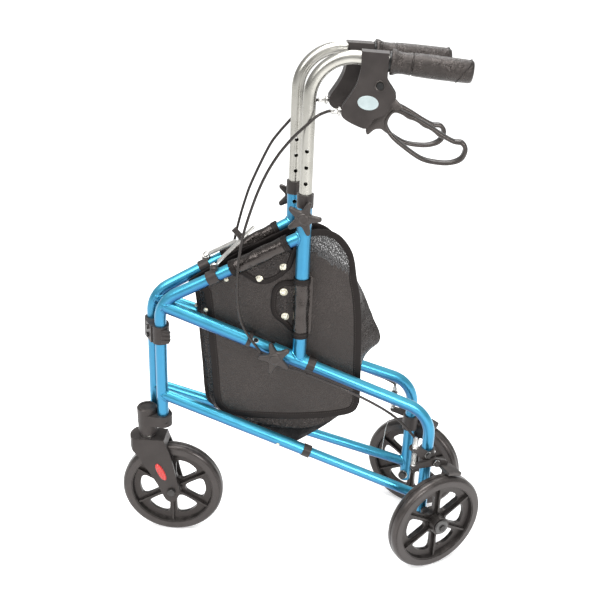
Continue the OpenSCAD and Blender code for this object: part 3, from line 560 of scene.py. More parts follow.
BLUE_TUBE = blue_tube("anodised blue tube")
PALE_STEEL = finish("bright link steel", [(0.56, 0.55, 0.52), (0.66, 0.65, 0.62)], (0.3, 0.4), metal=0.85,
                    patch=60, **speckle(1300, 0.05))
SILVER_TUBE = finish("satin silver tube", [(0.38, 0.37, 0.335), (0.44, 0.43, 0.395)], (0.24, 0.34),
                     metal=1.0, patch=30, **speckle(1300, 0.05, streak=0.05))
BLACK_PLASTIC = finish("satin black moulding", [(0.020, 0.018, 0.0175), (0.028, 0.025, 0.024)], (0.34, 0.48),
                       patch=35, wear_and_highlight=(0.0009, 0.5, (0.1, 0.094, 0.09)), dust=0.10, specular=0.32, tone=WARM,
                       **speckle(1400, 0.12))
# The knobs' pale edges are a painted edge highlight.
KNOB_PLASTIC = finish("grained knob moulding", [(0.022, 0.020, 0.019), (0.030, 0.027, 0.026)], (0.36, 0.48),
                      patch=60, wear_and_highlight=(0.0016, 1.0, (0.13, 0.124, 0.12)), dust=0.2, specular=0.4, tone=WARM,
                      **speckle(1800, 0.2))
RIM_PLASTIC = finish("rim moulding", [(0.010, 0.009, 0.0085), (0.015, 0.0135, 0.013)], (0.28, 0.4), patch=40,
                     wear_and_highlight=(0.0012, 0.8, (0.11, 0.105, 0.10)), dust=0.12, specular=0.4, tone=WARM,
                     **speckle(1400, 0.1))
LEVER_PLASTIC = finish("lever moulding", [(0.014, 0.013, 0.012), (0.020, 0.018, 0.017)], (0.26, 0.38),
                       patch=45, dust=0.08, tone=WARM, **speckle(1500, 0.08))
RUBBER = finish("solid tyre rubber", [(0.018, 0.016, 0.0155), (0.026, 0.023, 0.022)], (0.28, 0.42), patch=50,
                dust=0.2, specular=0.42, coat=0.15, coat_rough=0.12, tone=WARM,
                **speckle(800, 0.12, depth=0.0002))
GRIP_SKIN = finish("leather-look grip", [(0.006, 0.0055, 0.005), (0.022, 0.019, 0.017)], (0.22, 0.36),
                   patch=60, tone=WARM, **pebble(380, 1, 0.7, 0.0005))
STEEL = finish("zinc plated steel", [(0.44, 0.43, 0.41), (0.58, 0.57, 0.55)], (0.25, 0.4), metal=1.0,
               patch=90, wear_and_highlight=(0.0005, 0.5, (0.72, 0.72, 0.70)), **speckle(1200, 0.06))
DARK_STEEL = finish("blackened bolt", [(0.03, 0.028, 0.027), (0.05, 0.047, 0.045)], (0.32, 0.46), metal=0.6,
                    patch=90, wear_and_highlight=(0.0004, 0.7, (0.35, 0.35, 0.34)), **speckle(1200, 0.1))
VINYL = finish("pebbled vinyl", [(0.010, 0.009, 0.0085), (0.029, 0.025, 0.023)], (0.28, 0.4), patch=8,
               specular=0.44, tone=WARM, **pebble(300, 0.95, 0.7, 0.0005))
# A lighter, glossier copy of the panel vinyl for the left panel's upper rear corner, where the light falls:
# painted highlight.
PAINTED_LIGHT_VINYL = finish("vinyl in painted light", [(0.010, 0.009, 0.0085), (0.040, 0.036, 0.036)], (0.18, 0.3),
                       patch=40, specular=0.65, **pebble(280, 1, 0.8, 0.0006))
FOLD_VINYL = finish("folded vinyl", [(0.005, 0.0045, 0.0045), (0.015, 0.0135, 0.013)], (0.2, 0.34), patch=70,
                    specular=0.4, tone=WARM, **pebble(260, 1, 0.8, 0.0006))
SOFT_VINYL = finish("soft sleeve vinyl", [(0.004, 0.0035, 0.003), (0.011, 0.0095, 0.009)], (0.09, 0.18),
                    patch=30, specular=0.62, tone=WARM, **pebble(280, 0.95, 0.5, 0.0003))
# A near-black, dull copy of the gusset vinyl for the faces under the bag's bulge: painted shade.
PAINTED_SHADE_VINYL = finish("vinyl underside in painted shade", [(0.0015, 0.0015, 0.002), (0.003, 0.003, 0.0035)], (0.5, 0.65),
                      patch=70, specular=0.06, **pebble(300, 1, 0.8, 0.0009))
BINDING = finish("binding tape", [(0.0035, 0.003, 0.003), (0.006, 0.005, 0.005)], (0.5, 0.62), patch=60,
                 specular=0.24, tone=WARM, **speckle(900, 0.3, depth=0.0002))
THREAD = finish("sewing thread", [(0.014, 0.013, 0.012), (0.024, 0.022, 0.020)], (0.5, 0.65), patch=300,
                tone=WARM, **speckle(2500, 0.3))
SHEATH = finish("cable sheath", [(0.010, 0.0095, 0.009), (0.016, 0.015, 0.0145)], (0.25, 0.36), patch=50,
                specular=0.4, tone=WARM, **speckle(1500, 0.05))
SNAP = finish("pearl snap", [(0.56, 0.53, 0.42), (0.66, 0.63, 0.52)], (0.2, 0.3), metal=0.5, patch=160,
              coat=0.3, **speckle(900, 0.04))
REFLECTOR = finish("red reflector", [(0.46, 0.012, 0.008), (0.60, 0.022, 0.014)], (0.1, 0.2), patch=90,
                   coat=0.4, coat_rough=0.06, **pebble(700, 0.1, 0.5, 0.0004))
BADGE = finish("blank badge", [(0.30, 0.36, 0.365), (0.36, 0.42, 0.425)], (0.3, 0.4), patch=60,
               **speckle(1200, 0.04))
PAD_GREY = finish("brake pad", [(0.026, 0.024, 0.023), (0.040, 0.037, 0.035)], (0.4, 0.55), patch=80,
                  tone=WARM, **speckle(1300, 0.15))
# Near-black for the lever pin's head and the grip's collar: painted shade of a recess and of a gap.
RECESS_SHADE = finish("painted recess shade", [(0.004, 0.004, 0.004), (0.008, 0.008, 0.008)], (0.3, 0.42), patch=120,
                specular=0.3, **speckle(1300, 0.1))
CAP_GREY = finish("grey hub cap", [(0.045, 0.043, 0.042), (0.065, 0.063, 0.061)], (0.38, 0.5), patch=80,
                  **speckle(1300, 0.1))

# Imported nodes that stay: their finish by the ending of their name, and the softness of their edges
NODE_FINISH = {
    "main_tube": BLUE_TUBE, "post": BLUE_TUBE, "side_rails": BLUE_TUBE, "rear_brace": BLUE_TUBE,
    "left_rear_leg": blue_tube("left leg tube", leg_hole(LEFT)),
    "right_rear_leg": blue_tube("right leg tube", leg_hole(RIGHT)),
    "handle_tube": SILVER_TUBE, "hinge_bolts": DARK_STEEL, "caster_hardware": STEEL,
    "wheel_axle": DARK_STEEL, "link": PALE_STEEL, "lever_pin": RECESS_SHADE, "tyre": RUBBER, "rim": RIM_PLASTIC,
}
NODE_EDGE = {
    "head_block": 1.4, "upper_bracket": 1.2, "caster_fork": 4.0, "lever_housing": 2.4, "brake_bracket": 0.7,
    "brake_arm": 0.8, "tube_bushes": 0.6, "rim": 0.7, "link_clamp": 0.7, "link": 0.8, "pull_tab": 0.9,
    "caster_hardware": 0.4, "wheel_axle": 0.4, "hinge_bolts": 0.4, "lever_pin": 0.4,
}


def ending(name, table):
    for key, value in table.items():
        if name == key or name.endswith("_" + key):
            return value
    return None


def dress_nodes():
    for name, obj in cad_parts.items():
        surface = ending(name, NODE_FINISH) or BLACK_PLASTIC
        for place in obj.material_slots:
            place.material = surface
        edge = ending(name, NODE_EDGE)
        if edge:
            soft = obj.modifiers.new("soft edges", "BEVEL")
            soft.width = edge * MM
            soft.segments = 3
            soft.limit_method = "ANGLE"
            soft.angle_limit = math.radians(34)
            soft.harden_normals = True


dress_nodes()

# The loose end of the right brake's inner wire, with its crimp
TAIL_POINTS = [(25, -48, 217.6), (22, -48.5, 211), (14, -50, 203), (6, -52, 190), (2, -53, 170),
               (0, -54, 148), (-1, -55, 128)]
CRIMP_PROFILE = [(0.9, 0), (1.5, 0.4), (1.5, 2.6), (1.2, 3.2), (1.5, 3.8), (1.5, 6), (1.1, 6.6)]


def add_wire_tail():
    path = spline(TAIL_POINTS, 40)
    wire = Shape().tube(path, 0.8, 10)
    wire = put_on(RIGHT, wire, "tail_wire", STEEL, "brake_arm", ["wire_tail"], RIGHT.wheel)
    way = path[-1] - path[-4]
    crimp = Shape().lathe(CRIMP_PROFILE, path[-1] - way.normalized() * 4, way, 14)
    crimp = put_on(RIGHT, crimp, "tail_crimp", STEEL, "brake_arm", place=RIGHT.wheel)
    tuple(RIGHT.wheel(*TAIL_POINTS[0]))
    [tuple(RIGHT.wheel(*p)) for p in path]


add_wire_tail()

# Brake cables as (outwards, rearwards, height), from the lever down to the rear brake
CABLE_TOP = {
    "left": [(0, 292.8, 870.2), (1.2, 288.6, 869.4), (4.6, 284, 868.2), (8.6, 278.3, 866.4),
             (12.2, 273, 863.9), (14.8, 265.5, 858), (15.4, 257.8, 850.2), (15.3, 247.3, 840.1),
             (14.8, 232.8, 824.8), (14.3, 220.5, 809.5), (14.1, 209, 793.2), (14.3, 193, 765.3),
             (15.3, 178.1, 731.1), (17.5, 165.9, 694.9), (20, 155.3, 657.2), (21.6, 148.8, 617.8),
             (22, 145.5, 585), (22, 145, 550), (21, 147, 514), (20, 154, 482), (19.5, 168, 456)],
    "right": [(0, 292.8, 870.4), (1.2, 288.6, 868.8), (4.6, 283.6, 865.6), (9, 277, 860.6),
              (12.6, 270.5, 855), (15, 262, 847), (15.4, 251.1, 835.9), (15, 240.6, 824),
              (14.6, 229.4, 810.7), (14.2, 215.3, 791.4), (14.3, 201, 763), (14.8, 182.9, 721.6),
              (15.5, 174.1, 697.5), (17.8, 162.7, 657), (20.5, 153.3, 614.4), (22, 147.6, 576),
              (22, 146, 538), (21, 148, 506), (20, 155, 478), (19.5, 168, 454)],
}
CABLE_FOOT = [(19.5, 184, 434), (19.5, 200, 414), (19.5, 220, 402), (19.5, 246, 397.5), (19.5, 274, 389),
              (19, 310, 376), (18, 352, 359), (17, 396, 338), (21, 430, 321), (30, 456, 306), (39, 472, 293),
              (44.5, 480.4, 285), (46.6, 482.3, 278)]
CABLE_R = 2.5
CABLE_PORT = Vector((0, 293.6, 870.2))
PORT_PROFILE = [(2.6, -0.6), (4.2, -0.4), (4.8, 0.2), (4.8, 10.9), (4.3, 11.6), (4.2, 21), (3, 22)]
ADJUSTER_FOOT = Vector((25, -48, 262))
ADJUSTER_PROFILE = [(3.5, 2), (4.1, 2.4), (4.1, 13.2), (3.6, 14.4), (3.3, 15), (3.3, 25), (2.6, 26)]


def add_cables(side):
    route = CABLE_TOP[side.name] + CABLE_FOOT
    steps = 8
    path = spline(route, (len(route) - 1) * steps + 1)
    split = (len(CABLE_TOP[side.name]) - 1) * steps
    upper = Shape().tube(path[:split + 1], CABLE_R, 14).make(side.body("cable_upper"), side.at, SHEATH)
    lower = Shape().tube(path[split:], CABLE_R, 14).make(side.body("cable_lower"), side.at, SHEATH)
    for half in (upper, lower):
        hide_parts(side.body("brake_cable"))
    side.body("handle")
    side.body("frame")
    tuple(side.at(14, 268, 860))
    tuple(side.at(21, 150, 600))
    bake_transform(upper)
    side.body("frame")
    side.body("rear")
    tuple(side.at(19.5, 250, 396))
    tuple(side.at(19, 440, 316))
    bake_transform(lower)
    rear = Vector((0, 1, 0))
    top = Shape().lathe(PORT_PROFILE, CABLE_PORT, rear, 24)
    top.prism(7.5, 14, 11.4, 15.2, CABLE_PORT, rear, 0.5)
    put_on(side, top, "lever_adjuster", STEEL, "handle")
    low = Shape().lathe(ADJUSTER_PROFILE, ADJUSTER_FOOT, UP, 24)
    low.prism(5.8, 6, 3, 6, ADJUSTER_FOOT, UP, 0.3)
    low.prism(5.2, 12, 7.4, 11.4, ADJUSTER_FOOT, UP, 0.4)
    put_on(side, low, "brake_adjuster", STEEL, "rear", place=side.wheel)


# Return spring round the inner wire, between the adjuster and the brake arm
def add_spring(side):
    turns, per_turn = 9, 18
    coil_r, wire_r = 4, 0.6
    low, rise = 230.6, 24.4
    o, s = ADJUSTER_FOOT.xy
    path = []
    for i in range(turns * per_turn + 1):
        a = 2 * math.pi * i / per_turn
        z = low + rise * i / (turns * per_turn)
        path.append(Vector((o + coil_r * math.cos(a), s + coil_r * math.sin(a), z)))
    coil = Shape().tube(path, wire_r, 8)
    coil.tube([Vector((o, s, z)) for z in (217, 226, 236, 246, 256, 264)], 0.75, 8)
    coil.lathe([(1, -3), (4.4, -2.8), (4.6, -2), (4.6, -0.4), (4.2, 0)], (o, s, low - 0.4), UP, 20)
    spring = coil.make(side.body("coil_spring"), side.wheel, STEEL)
    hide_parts(side.body("brake_spring"))
    side.body("rear")
    side.body("brake_arm")
    tuple(side.wheel(o, s, 258))
    tuple(side.wheel(o, s, 230))
    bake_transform(spring)


# Star knobs: five tapered arms round a disc, with (inset, height) steps up the star's rim
STAR_DISC = 13
STAR_ARMS = 5
ARM_ROOT = 10
ARM_REACH = 16.8
ARM_R = 7.5
ARM_TAPER = 3.3
ARM_BLEND = 4
STAR_PROFILE = [(4.2, 8.0), (1.6, 8.3), (0.5, 9.2), (0.0, 10.6), (0.0, 15.2), (0.4, 17.0), (1.3, 18.3),
                (2.6, 18.9), (4.4, 19.0)]
KNOB_NECK = [(9, 0.4), (9.5, 0.9), (9.5, 7.4), (10.6, 8.6), (10.6, 9.4)]
KNOB_CAP = [(10.8, 18.4), (10.4, 19.8), (9.2, 20.9), (7, 21.4), (6.2, 21.0), (3, 21.2), (0, 21.3)]
KNOB_SCREW = [(3.9, -1.6), (4, -1.2), (4, 2)]


def star_depth(x, y):
    """Distance outside the star."""
    depth = math.hypot(x, y) - STAR_DISC
    for a in angles(STAR_ARMS):
        along = x * math.cos(a) + y * math.sin(a)
        t = min(max((along - ARM_ROOT) / ARM_REACH, 0), 1)
        reach = ARM_ROOT + ARM_REACH * t
        arm = math.hypot(x - reach * math.cos(a), y - reach * math.sin(a)) - (ARM_R - ARM_TAPER * t)
        h = max(ARM_BLEND - abs(depth - arm), 0) / ARM_BLEND
        depth = min(depth, arm) - h * h
    return depth


def star_ring(inset, h, turn, count=110):
    """The star's outline, moved inwards. Each radius is found by halving."""
    ring = []
    for a in angles(count):
        low, high = 2.0, 34.0
        for _ in range(22):
            r = (low + high) / 2
            if star_depth(r * math.cos(a), r * math.sin(a)) > -inset:
                high = r
            else:
                low = r
        ring.append((low * math.cos(a + turn), low * math.sin(a + turn), h))
    return ring


def add_knob(side, name, s, z, surface, turn):
    star = Shape().skin([star_ring(inset, h, math.radians(turn)) for inset, h in STAR_PROFILE])
    for profile, count in ((KNOB_NECK, 40), (KNOB_CAP, 40), (KNOB_SCREW, 20)):
        star.lathe(profile, (0, 0, 0), UP, count)

    def place(u, v, h):
        return side.at(surface + h, s + v, z - u)

    put_on(side, star, name + "_star", KNOB_PLASTIC, name, [name], place)


# Brake levers: a finger loop with grip bumps on its upper bar, and the flat neck up to the pivot
LOOP_POINTS = [(398, 877), (420, 870), (450, 856), (478, 840), (496, 831.5), (510, 829), (516, 819),
               (511, 804), (494, 795.5), (470, 795), (446, 800), (420, 815.5), (396, 834), (384, 852),
               (387, 868)]
NECK_POINTS = [(360, 917), (381, 917), (396, 896), (408, 882), (398, 877), (387, 868), (384, 852),
               (392, 841), (388.5, 839.5), (383.5, 844), (374, 846.5), (365, 844), (357, 836.5),
               (353.2, 838), (352, 846), (357, 860)]
FINGER_BUMPS = (421, 447, 473)
LOOP_END = 496
LEVER_PIVOT = (370, 917)


def add_lever(side):
    count = 180
    path = spline([(0, s, z) for s, z in LOOP_POINTS], count, closed=True)

    def section(i):
        p = path[i]
        inner = outer = 3.3
        if i < count / 3:
            inner += sum(1.9 * math.exp(-((p.y - s) / 7) ** 2) for s in FINGER_BUMPS)
        if p.y > LOOP_END:
            outer += 1.2 * min((p.y - LOOP_END) / 12, 1)
        return [(u, v * (inner if v > 0 else outer)) for u, v in rounded(8.4, 1, 24, 3.6)]

    lever = Shape().skin(sweep(path, section, closed=True), loop=True)
    lever.plate(smooth_outline(NECK_POINTS, 96), -7.4, 7.4, 0.9)
    lever.lathe([(10, -7.4), (11, -6.4), (11, 6.4), (10, 7.4)], (0, *LEVER_PIVOT), OUT, 40)
    put_on(side, lever, "finger_lever", LEVER_PLASTIC, "lever", ["brake_lever"])


# Grips: a flange, a waist with a ring seam, and a slanted seam near the end
GRIP_PROFILE = [(11.1, 0), (19, 0), (20.2, 0.5), (20.6, 1.8), (20.6, 4.6), (19.8, 6.4), (18.5, 9.4),
                (17.4, 13.4), (17, 18), (16.9, 24), (17.4, 30), (17.9, 32.4), (16.7, 33.4), (16.7, 34.6),
                (18, 35.6), (18.4, 50), (18.7, 65), (18.6, 88), (18.5, 105), (18.3, 119), (18.1, 125),
                (17.4, 128), (16, 130), (13, 131), (4, 131.2), (0, 131.2)]
COLLAR_PROFILE = [(15.4, -3.2), (16.2, -2.8), (16.2, 0.3), (11.2, 0.4)]
WELT_AT = 116
WELT_SLANT = 10
WELT_R = 18.6


def add_grip(side):
    axis = Vector((0, math.cos(HANDLE_DROP), -math.sin(HANDLE_DROP)))
    foot = Vector((0, GRIP_START, handle_height(GRIP_START)))
    grip = Shape().lathe(GRIP_PROFILE, foot, axis, 72)
    welt = []
    for a in angles(72):
        welt.append(foot + axis * (WELT_AT - WELT_SLANT * math.sin(a)) + around(axis, a) * WELT_R)
    grip.hoop(welt, circle(1.0, 8))
    put_on(side, grip, "soft_grip", GRIP_SKIN, "handle", ["grip"])
    # The collar takes the near-black finish: painted shade of the gap between the lever housing and the grip.
    collar = Shape().lathe(COLLAR_PROFILE, foot, axis, 48)
    put_on(side, collar, "grip_collar", RECESS_SHADE, "handle")


# Bag: side panels with bound edges, straps with snaps, and the gusset between the panels
PANEL_OUT = -16.8
PANEL_POINTS = [(79, 548), (80, 520), (84, 484), (88, 428), (92.5, 371), (96, 314), (101, 290),
                (111, 277), (130, 267), (223, 268), (297, 276), (340, 285), (363, 295), (372, 310),
                (374, 335), (368, 470), (362, 530), (354, 568), (347, 602), (339, 621), (323, 640),
                (306, 650), (288, 654), (266, 652), (245, 642)]
PANEL_MIDDLE = (225, 445)
PANEL_SHARES = [1.0, 0.985, 0.965, 0.94, 0.91, 0.88, 0.85, 0.82, 0.79, 0.76, 0.72, 0.68, 0.64, 0.6,
                0.55, 0.5, 0.44, 0.37, 0.3, 0.22, 0.13, 0.03]
CREST_FOOT = Vector((268, 621))
CREST_RISE = Vector((48, 79)).normalized()
RAIL_FLAP = [(133, 588), (137, 573), (156, 560), (177, 549.5), (195, 551.5), (213, 561), (226, 573),
             (238, 592), (243, 636), (190, 613)]
POST_FLAP = [(262, 572), (245, 560), (222, 556), (207, 543), (202.5, 522), (203.5, 497), (210.5, 483.5),
             (227, 471), (241, 458), (262, 458)]
POST_TAB = [(264, 458), (275, 458), (276.5, 470), (277, 514), (276.5, 558), (275, 570), (264, 570)]
SNAP_POINTS = [(223, 584), (179.5, 558), (224.5, 536), (228.5, 487.5)]
STUD_POINTS = [(119.6, 552), (82, 489)]
# A thread's rings: along, half width at the foot and at the top, height, as shares
THREAD_RINGS = [(-1, 0.4, 0.4, 0.3), (0, 1, 0.6, 1), (1, 0.4, 0.4, 0.3)]
THREAD_LENGTH = 2.8
THREAD_HALF = 0.45
THREAD_HEIGHT = 0.4


def wave(s, z, seed, size):
    """Slow unevenness of soft sheet, from -1 to 1."""
    return noise.noise(Vector((s / size, z / size, seed)))


def ramp(low, high, x):
    t = min(max((x - low) / (high - low), 0), 1)
    return t * t * (3 - 2 * t)


def crest_height(s, z):
    """Distance above the crest across a panel's rear top corner."""
    return (Vector((s, z)) - CREST_FOOT).dot(CREST_RISE)


def panel_out(side, s, z):
    """Where a panel lies: flat, but the left one leans inwards above the crest."""
    if side == RIGHT:
        return PANEL_OUT
    above = crest_height(s, z)
    lean = above - 5 if above > 10 else max(above, 0) ** 2 / 20
    return PANEL_OUT - 0.42 * min(lean, 36)


def add_stitches(shape, line, lift, step=4.4):
    """Rows of thread along a line of points. lift is the direction out of the cloth."""
    travelled = 0.0
    due = step
    rise = lift * THREAD_HEIGHT
    for a, b in zip(line, line[1:]):
        span = (b - a).length
        while span and due <= travelled + span:
            p = a + (b - a) * ((due - travelled) / span)
            way = (b - a).normalized() * THREAD_LENGTH / 2
            side = way.cross(lift).normalized() * THREAD_HALF
            rings = []
            for along, foot, top, high in THREAD_RINGS:
                c = p + way * along
                peak = c + rise * high
                rings.append([c + side * foot, c - side * foot, peak - side * top, peak + side * top])
            shape.skin(rings)
            due += step
        travelled += span


def add_panel(side):
    outline = smooth_outline(PANEL_POINTS, 220)
    ms, mz = PANEL_MIDDLE
    seed = 3.1 if side == LEFT else 7.7

    def ring(share, face):
        made = []
        for s, z in outline:
            ps, pz = ms + (s - ms) * share, mz + (z - mz) * share
            crown = (1 - share ** 8) * (1.5 if face > 0 else 1.2)
            sway = (1 - share ** 4) * (1.8 * wave(ps, pz, seed, 95) + 0.5 * wave(ps, pz, seed, 34))
            made.append((panel_out(side, ps, pz) + face * (0.4 + crown) + sway, ps, pz))
        return made

    panel = Shape()
    panel.skin([ring(t, -1) for t in reversed(PANEL_SHARES)] + [ring(t, 1) for t in PANEL_SHARES])
    obj = put_on(side, panel, "bag_side", VINYL, "frame", ["bag_panel"])
    obj.data.materials.append(PAINTED_LIGHT_VINYL)
    # The left panel's faces above the crest take the lighter copy of the vinyl: painted highlight.
    for face, corners in zip(obj.data.polygons, panel.faces):
        p = sum((panel.points[k] for k in corners), Vector()) / len(corners)
        ragged = 1.5 * wave(p.y, p.z, 2.2, 9)
        face.material_index = int(side == LEFT and crest_height(p.y, p.z) > ragged)
    path = [Vector((panel_out(side, s, z), s, z)) for s, z in inset_line(outline, 6.4)]
    tape = Shape().hoop(path, rounded(2.1, 7.2, 20, 4.0))
    tape = put_on(side, tape, "bag_binding", BINDING, "frame")
    seam = Shape()
    for face in (-1, 1):
        line = [Vector((panel_out(side, s, z) + face * 2.02, s, z)) for s, z in inset_line(outline, 10.6)]
        add_stitches(seam, line + line[:1], OUT * face)
    seam = put_on(side, seam, "bag_seam", THREAD, "frame")
    width, height = (max(v) - min(v) for v in zip(*outline))
    side.body("bag_binding")


def hem_rings(foot, axis, low, high, inner, outer):
    """A band round a sleeve's end."""
    edge, lip = outer - 0.5, 0.6
    tall = axis.cross(OUT)
    made = []
    for r, h in ((inner, low), (edge, low), (outer, low + lip), (outer, high - lip), (edge, high),
                 (inner, high)):
        made.append([foot + axis * h + OUT * x + tall * y for x, y in circle(r, 56)])
    return made


def add_hem_thread(seam, foot, axis, h, r):
    for a in angles(20):
        out = around(axis, a)
        p = foot + axis * h + out * (r - 0.05)
        way = axis.cross(out) * 1.5
        add_stitches(seam, [p - way, p + way], out, 1.5)


def sleeve_rings(foot, axis, length, inner, outer, seed):
    """A soft sleeve on a tube: hemmed at both ends, with shallow creases between."""

    def ring(h, r, crease):
        made = []
        for a in angles(56):
            dent = crease * noise.noise(Vector((math.cos(a) * 1.4, math.sin(a) * 1.4, h / 16 + seed)))
            made.append(foot + axis * h + around(axis, a) * (r + dent))
        return made

    hem = [(0, inner, 0), (0, outer - 0.3, 0), (0.6, outer, 0.1), (8, outer, 0.1), (8.6, outer - 0.6, 0.2)]
    middle = [(9 + (length - 18) * k / 29, outer - 0.75, 1.5) for k in range(30)]
    far_hem = [(length - h, r, crease) for h, r, crease in reversed(hem)]
    return [ring(*row) for row in hem + middle + far_hem]


FLAP_LIFT = [(1.0, 0.6), (0.97, 1.4), (0.9, 1.7), (0.8, 2.1), (0.65, 2.6), (0.45, 2.9), (0.2, 3.0),
             (0.04, 3.0)]


def flap_rings(outline, middle, seed):
    """A puffy flap that its snaps press in."""
    ms, mz = middle
    base = PANEL_OUT + 1.4

    def ring(t, lift):
        made = []
        for s, z in outline:
            ps, pz = ms + (s - ms) * t, mz + (z - mz) * t
            near = min(math.hypot(ps - a, pz - b) for a, b in SNAP_POINTS)
            dent = 1.2 * math.exp(-(near / 11) ** 2) * min(lift / 2, 1)
            made.append((base + lift - dent + 0.15 * lift * wave(ps, pz, seed, 15), ps, pz))
        return made

    return [ring(t, 0) for t in (0.04, 0.5, 1.0)] + [ring(t, lift) for t, lift in FLAP_LIFT]


def add_straps(side):
    rise = Vector((0, math.cos(UPPER_RISE), math.sin(UPPER_RISE))).normalized()
    rail_foot = Vector((0, 132, upper_height(132)))
    post_foot = Vector((0, POST_S, 457))
    sleeves = Shape()
    sleeves.skin(sleeve_rings(rail_foot, rise, 114, 11.2, 14.8, 2.0), loop=True)
    sleeves.skin(sleeve_rings(post_foot, UP, 114, 12.95, 15, 5.0), loop=True)
    sleeves.plate(smooth_outline(POST_TAB, 60), PANEL_OUT + 1.8, PANEL_OUT + 3.8, 0.7)
    put_on(side, sleeves, "bag_sleeves", SOFT_VINYL, "frame", ["bag_straps"])
    flaps = Shape()
    border = Shape()
    seam = Shape()
    for points, middle, seed in ((RAIL_FLAP, (193, 585), 2.2), (POST_FLAP, (232, 516), 6.6)):
        outline = smooth_outline(points, 96)
        flaps.skin(flap_rings(outline, middle, seed))
        roll = [Vector((PANEL_OUT + 2.6, s, z)) for s, z in inset_line(outline, 4.4)]
        border.hoop(roll, rounded(2.4, 5.4, 18, 2.6))
        line = [Vector((PANEL_OUT + 4.8, s, z)) for s, z in inset_line(outline, 6.4)]
        add_stitches(seam, line + line[:1], OUT)
    for foot, axis, inner, outer in ((rail_foot, rise, 11.15, 15.2), (post_foot, UP, 12.9, 15.5)):
        for low, high, thread in ((-1, 10, 7), (104, 115, 107)):
            border.skin(hem_rings(foot, axis, low, high, inner, outer), loop=True)
            add_hem_thread(seam, foot, axis, thread, outer)
    flaps = put_on(side, flaps, "bag_flaps", FOLD_VINYL, "frame")
    put_on(side, border, "flap_border", BINDING, "frame")
    put_on(side, seam, "sleeve_seam", THREAD, "frame")


SNAP_DOME = [(7.0, 0), (7.3, 0.4), (7.0, 1.1), (6.3, 1.4), (5.6, 1.2), (5.2, 1.5), (4.3, 2.3), (2.8, 2.8),
             (0, 3.0)]
RAIL_STUD_S = 226
RAIL_STUD_WAY = Vector((0.94, -0.119, -0.32)).normalized()


def add_snaps(side):
    fasteners = Shape()
    for s, z in SNAP_POINTS:
        fasteners.lathe(SNAP_DOME, (PANEL_OUT + 3.1, s, z), OUT, 36)
    for s, z in STUD_POINTS:
        fasteners.lathe([(r * 0.55, h * 0.75) for r, h in SNAP_DOME], (PANEL_OUT + 1.9, s, z), OUT, 24)
    on_rail = Vector((0, RAIL_STUD_S, low_height(RAIL_STUD_S))) + RAIL_STUD_WAY * 11.08
    fasteners.lathe([(r * 0.47, h * 0.75) for r, h in SNAP_DOME], on_rail, RAIL_STUD_WAY, 24)
    put_on(side, fasteners, "snap_domes", SNAP, "frame", ["snaps"])


# The gusset's rows from its front top, under the bag, to its rear top: the panel's edge, then the ridge
GUSSET_ROWS = [(84, 544, 94, 543), (87, 480, 94, 478), (92.5, 400, 98, 398), (99, 330, 105, 318),
               (107, 288, 124, 264), (140, 271, 174, 238), (200, 271, 222, 213), (263, 276, 262, 203),
               (315, 284, 306, 232), (352, 296, 346, 270), (368, 318, 378, 322), (369, 370, 384, 380),
               (367, 410, 397, 410), (365, 440, 418, 438), (362, 480, 400, 484), (358, 520, 385, 520),
               (352, 556, 367, 556)]
GUSSET_MIDDLE = Vector((0, HINGE_Y + 230, 430))
GUSSET_THICK = 1.8


def gusset_point(side, t, u, i, near, ridge, under, front):
    """A gusset point and its way out: t runs from the panel's edge to the ridge, u from side to side."""
    fold_at = 1 / 3
    fold = near.lerp(ridge, fold_at) + side.out * 11 * under
    p = near.lerp(fold, t / fold_at) if t < fold_at else fold.lerp(ridge, (t - fold_at) / (1 - fold_at))
    out = p - GUSSET_MIDDLE
    out.x = 0
    out.normalize()
    crease = wave(i * 2.1, u * 30, 1.3, 14) * 2.2 + wave(i * 0.8, u * 14, 4.4, 6) * 1.0
    crease += front * 2.6 * wave(i * 0.15, u * 26, 6.2, 4.5) + 0.5 * wave(i * 2.4, u * 52, 9.1, 5)
    return p + out * (math.sin(math.pi * t) * (2.0 + crease) + t * 0.6 * crease), out


def add_gusset():
    """The sheet between the panels: wrinkled in front, bulging below and folded to a ridge behind."""
    rows, columns = 180, 25
    edges = spline([(s, z, 0) for s, z, _, _ in GUSSET_ROWS], rows)
    ridges = spline([(y, z, 0) for _, _, y, z in GUSSET_ROWS], rows)
    rings = []
    below = []
    for i in range(rows):
        s, z = edges[i].xy
        ridge = Vector((0, HINGE_Y + ridges[i].x, ridges[i].y))
        under = ramp(118, 165, s) * (1 - ramp(322, 354, s)) * (1 - ramp(288, 306, z))
        front = 1 - ramp(96, 112, s)
        below.append(under)
        outer, inner = [], []
        for k in range(columns):
            u = 2 * k / (columns - 1)
            side, t = (LEFT, u) if u <= 1 else (RIGHT, 2 - u)
            near = side.at(PANEL_OUT - 1.2, s, z) / MM
            p, out = gusset_point(side, t, u, i, near, ridge, under, front)
            outer.append(p)
            inner.append(p - out * GUSSET_THICK)
        rings.append(outer + inner[::-1])
    obj = Shape().skin(rings).make("bag_fold", in_place, FOLD_VINYL, 50)
    obj.data.materials.append(PAINTED_SHADE_VINYL)
    # Faces under the bulge take the near-black vinyl: painted shade.
    for face in obj.data.polygons:
        row, k = divmod(face.index, 2 * columns)
        in_painted_shade = row < rows and below[row] > 0.4 and 4 <= k < columns - 5
        face.material_index = int(in_painted_shade)
    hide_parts("bag_gusset")
    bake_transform(obj)


# Small fittings
def add_bead(shape, foot, way, r, spine, spine_r):
    """A weld bead where a tube along way meets a tube along spine, both through foot."""
    way, spine = way.normalized(), spine.normalized()
    u = way.orthogonal().normalized()
    v = way.cross(u)
    reach = way - spine * way.dot(spine)
    path = []
    for a in angles(72):
        p = (u * math.cos(a) + v * math.sin(a)) * r
        flat = p - spine * p.dot(spine)
        b, q = flat.dot(reach), reach.length_squared
        root = max(b * b - q * (flat.length_squared - spine_r ** 2), 0)
        path.append(foot + p + way * (math.sqrt(root) - b) / q)
    shape.skin(sweep(path, lambda i: circle(1.9 + 0.2 * (i % 3), 8), closed=True), loop=True)


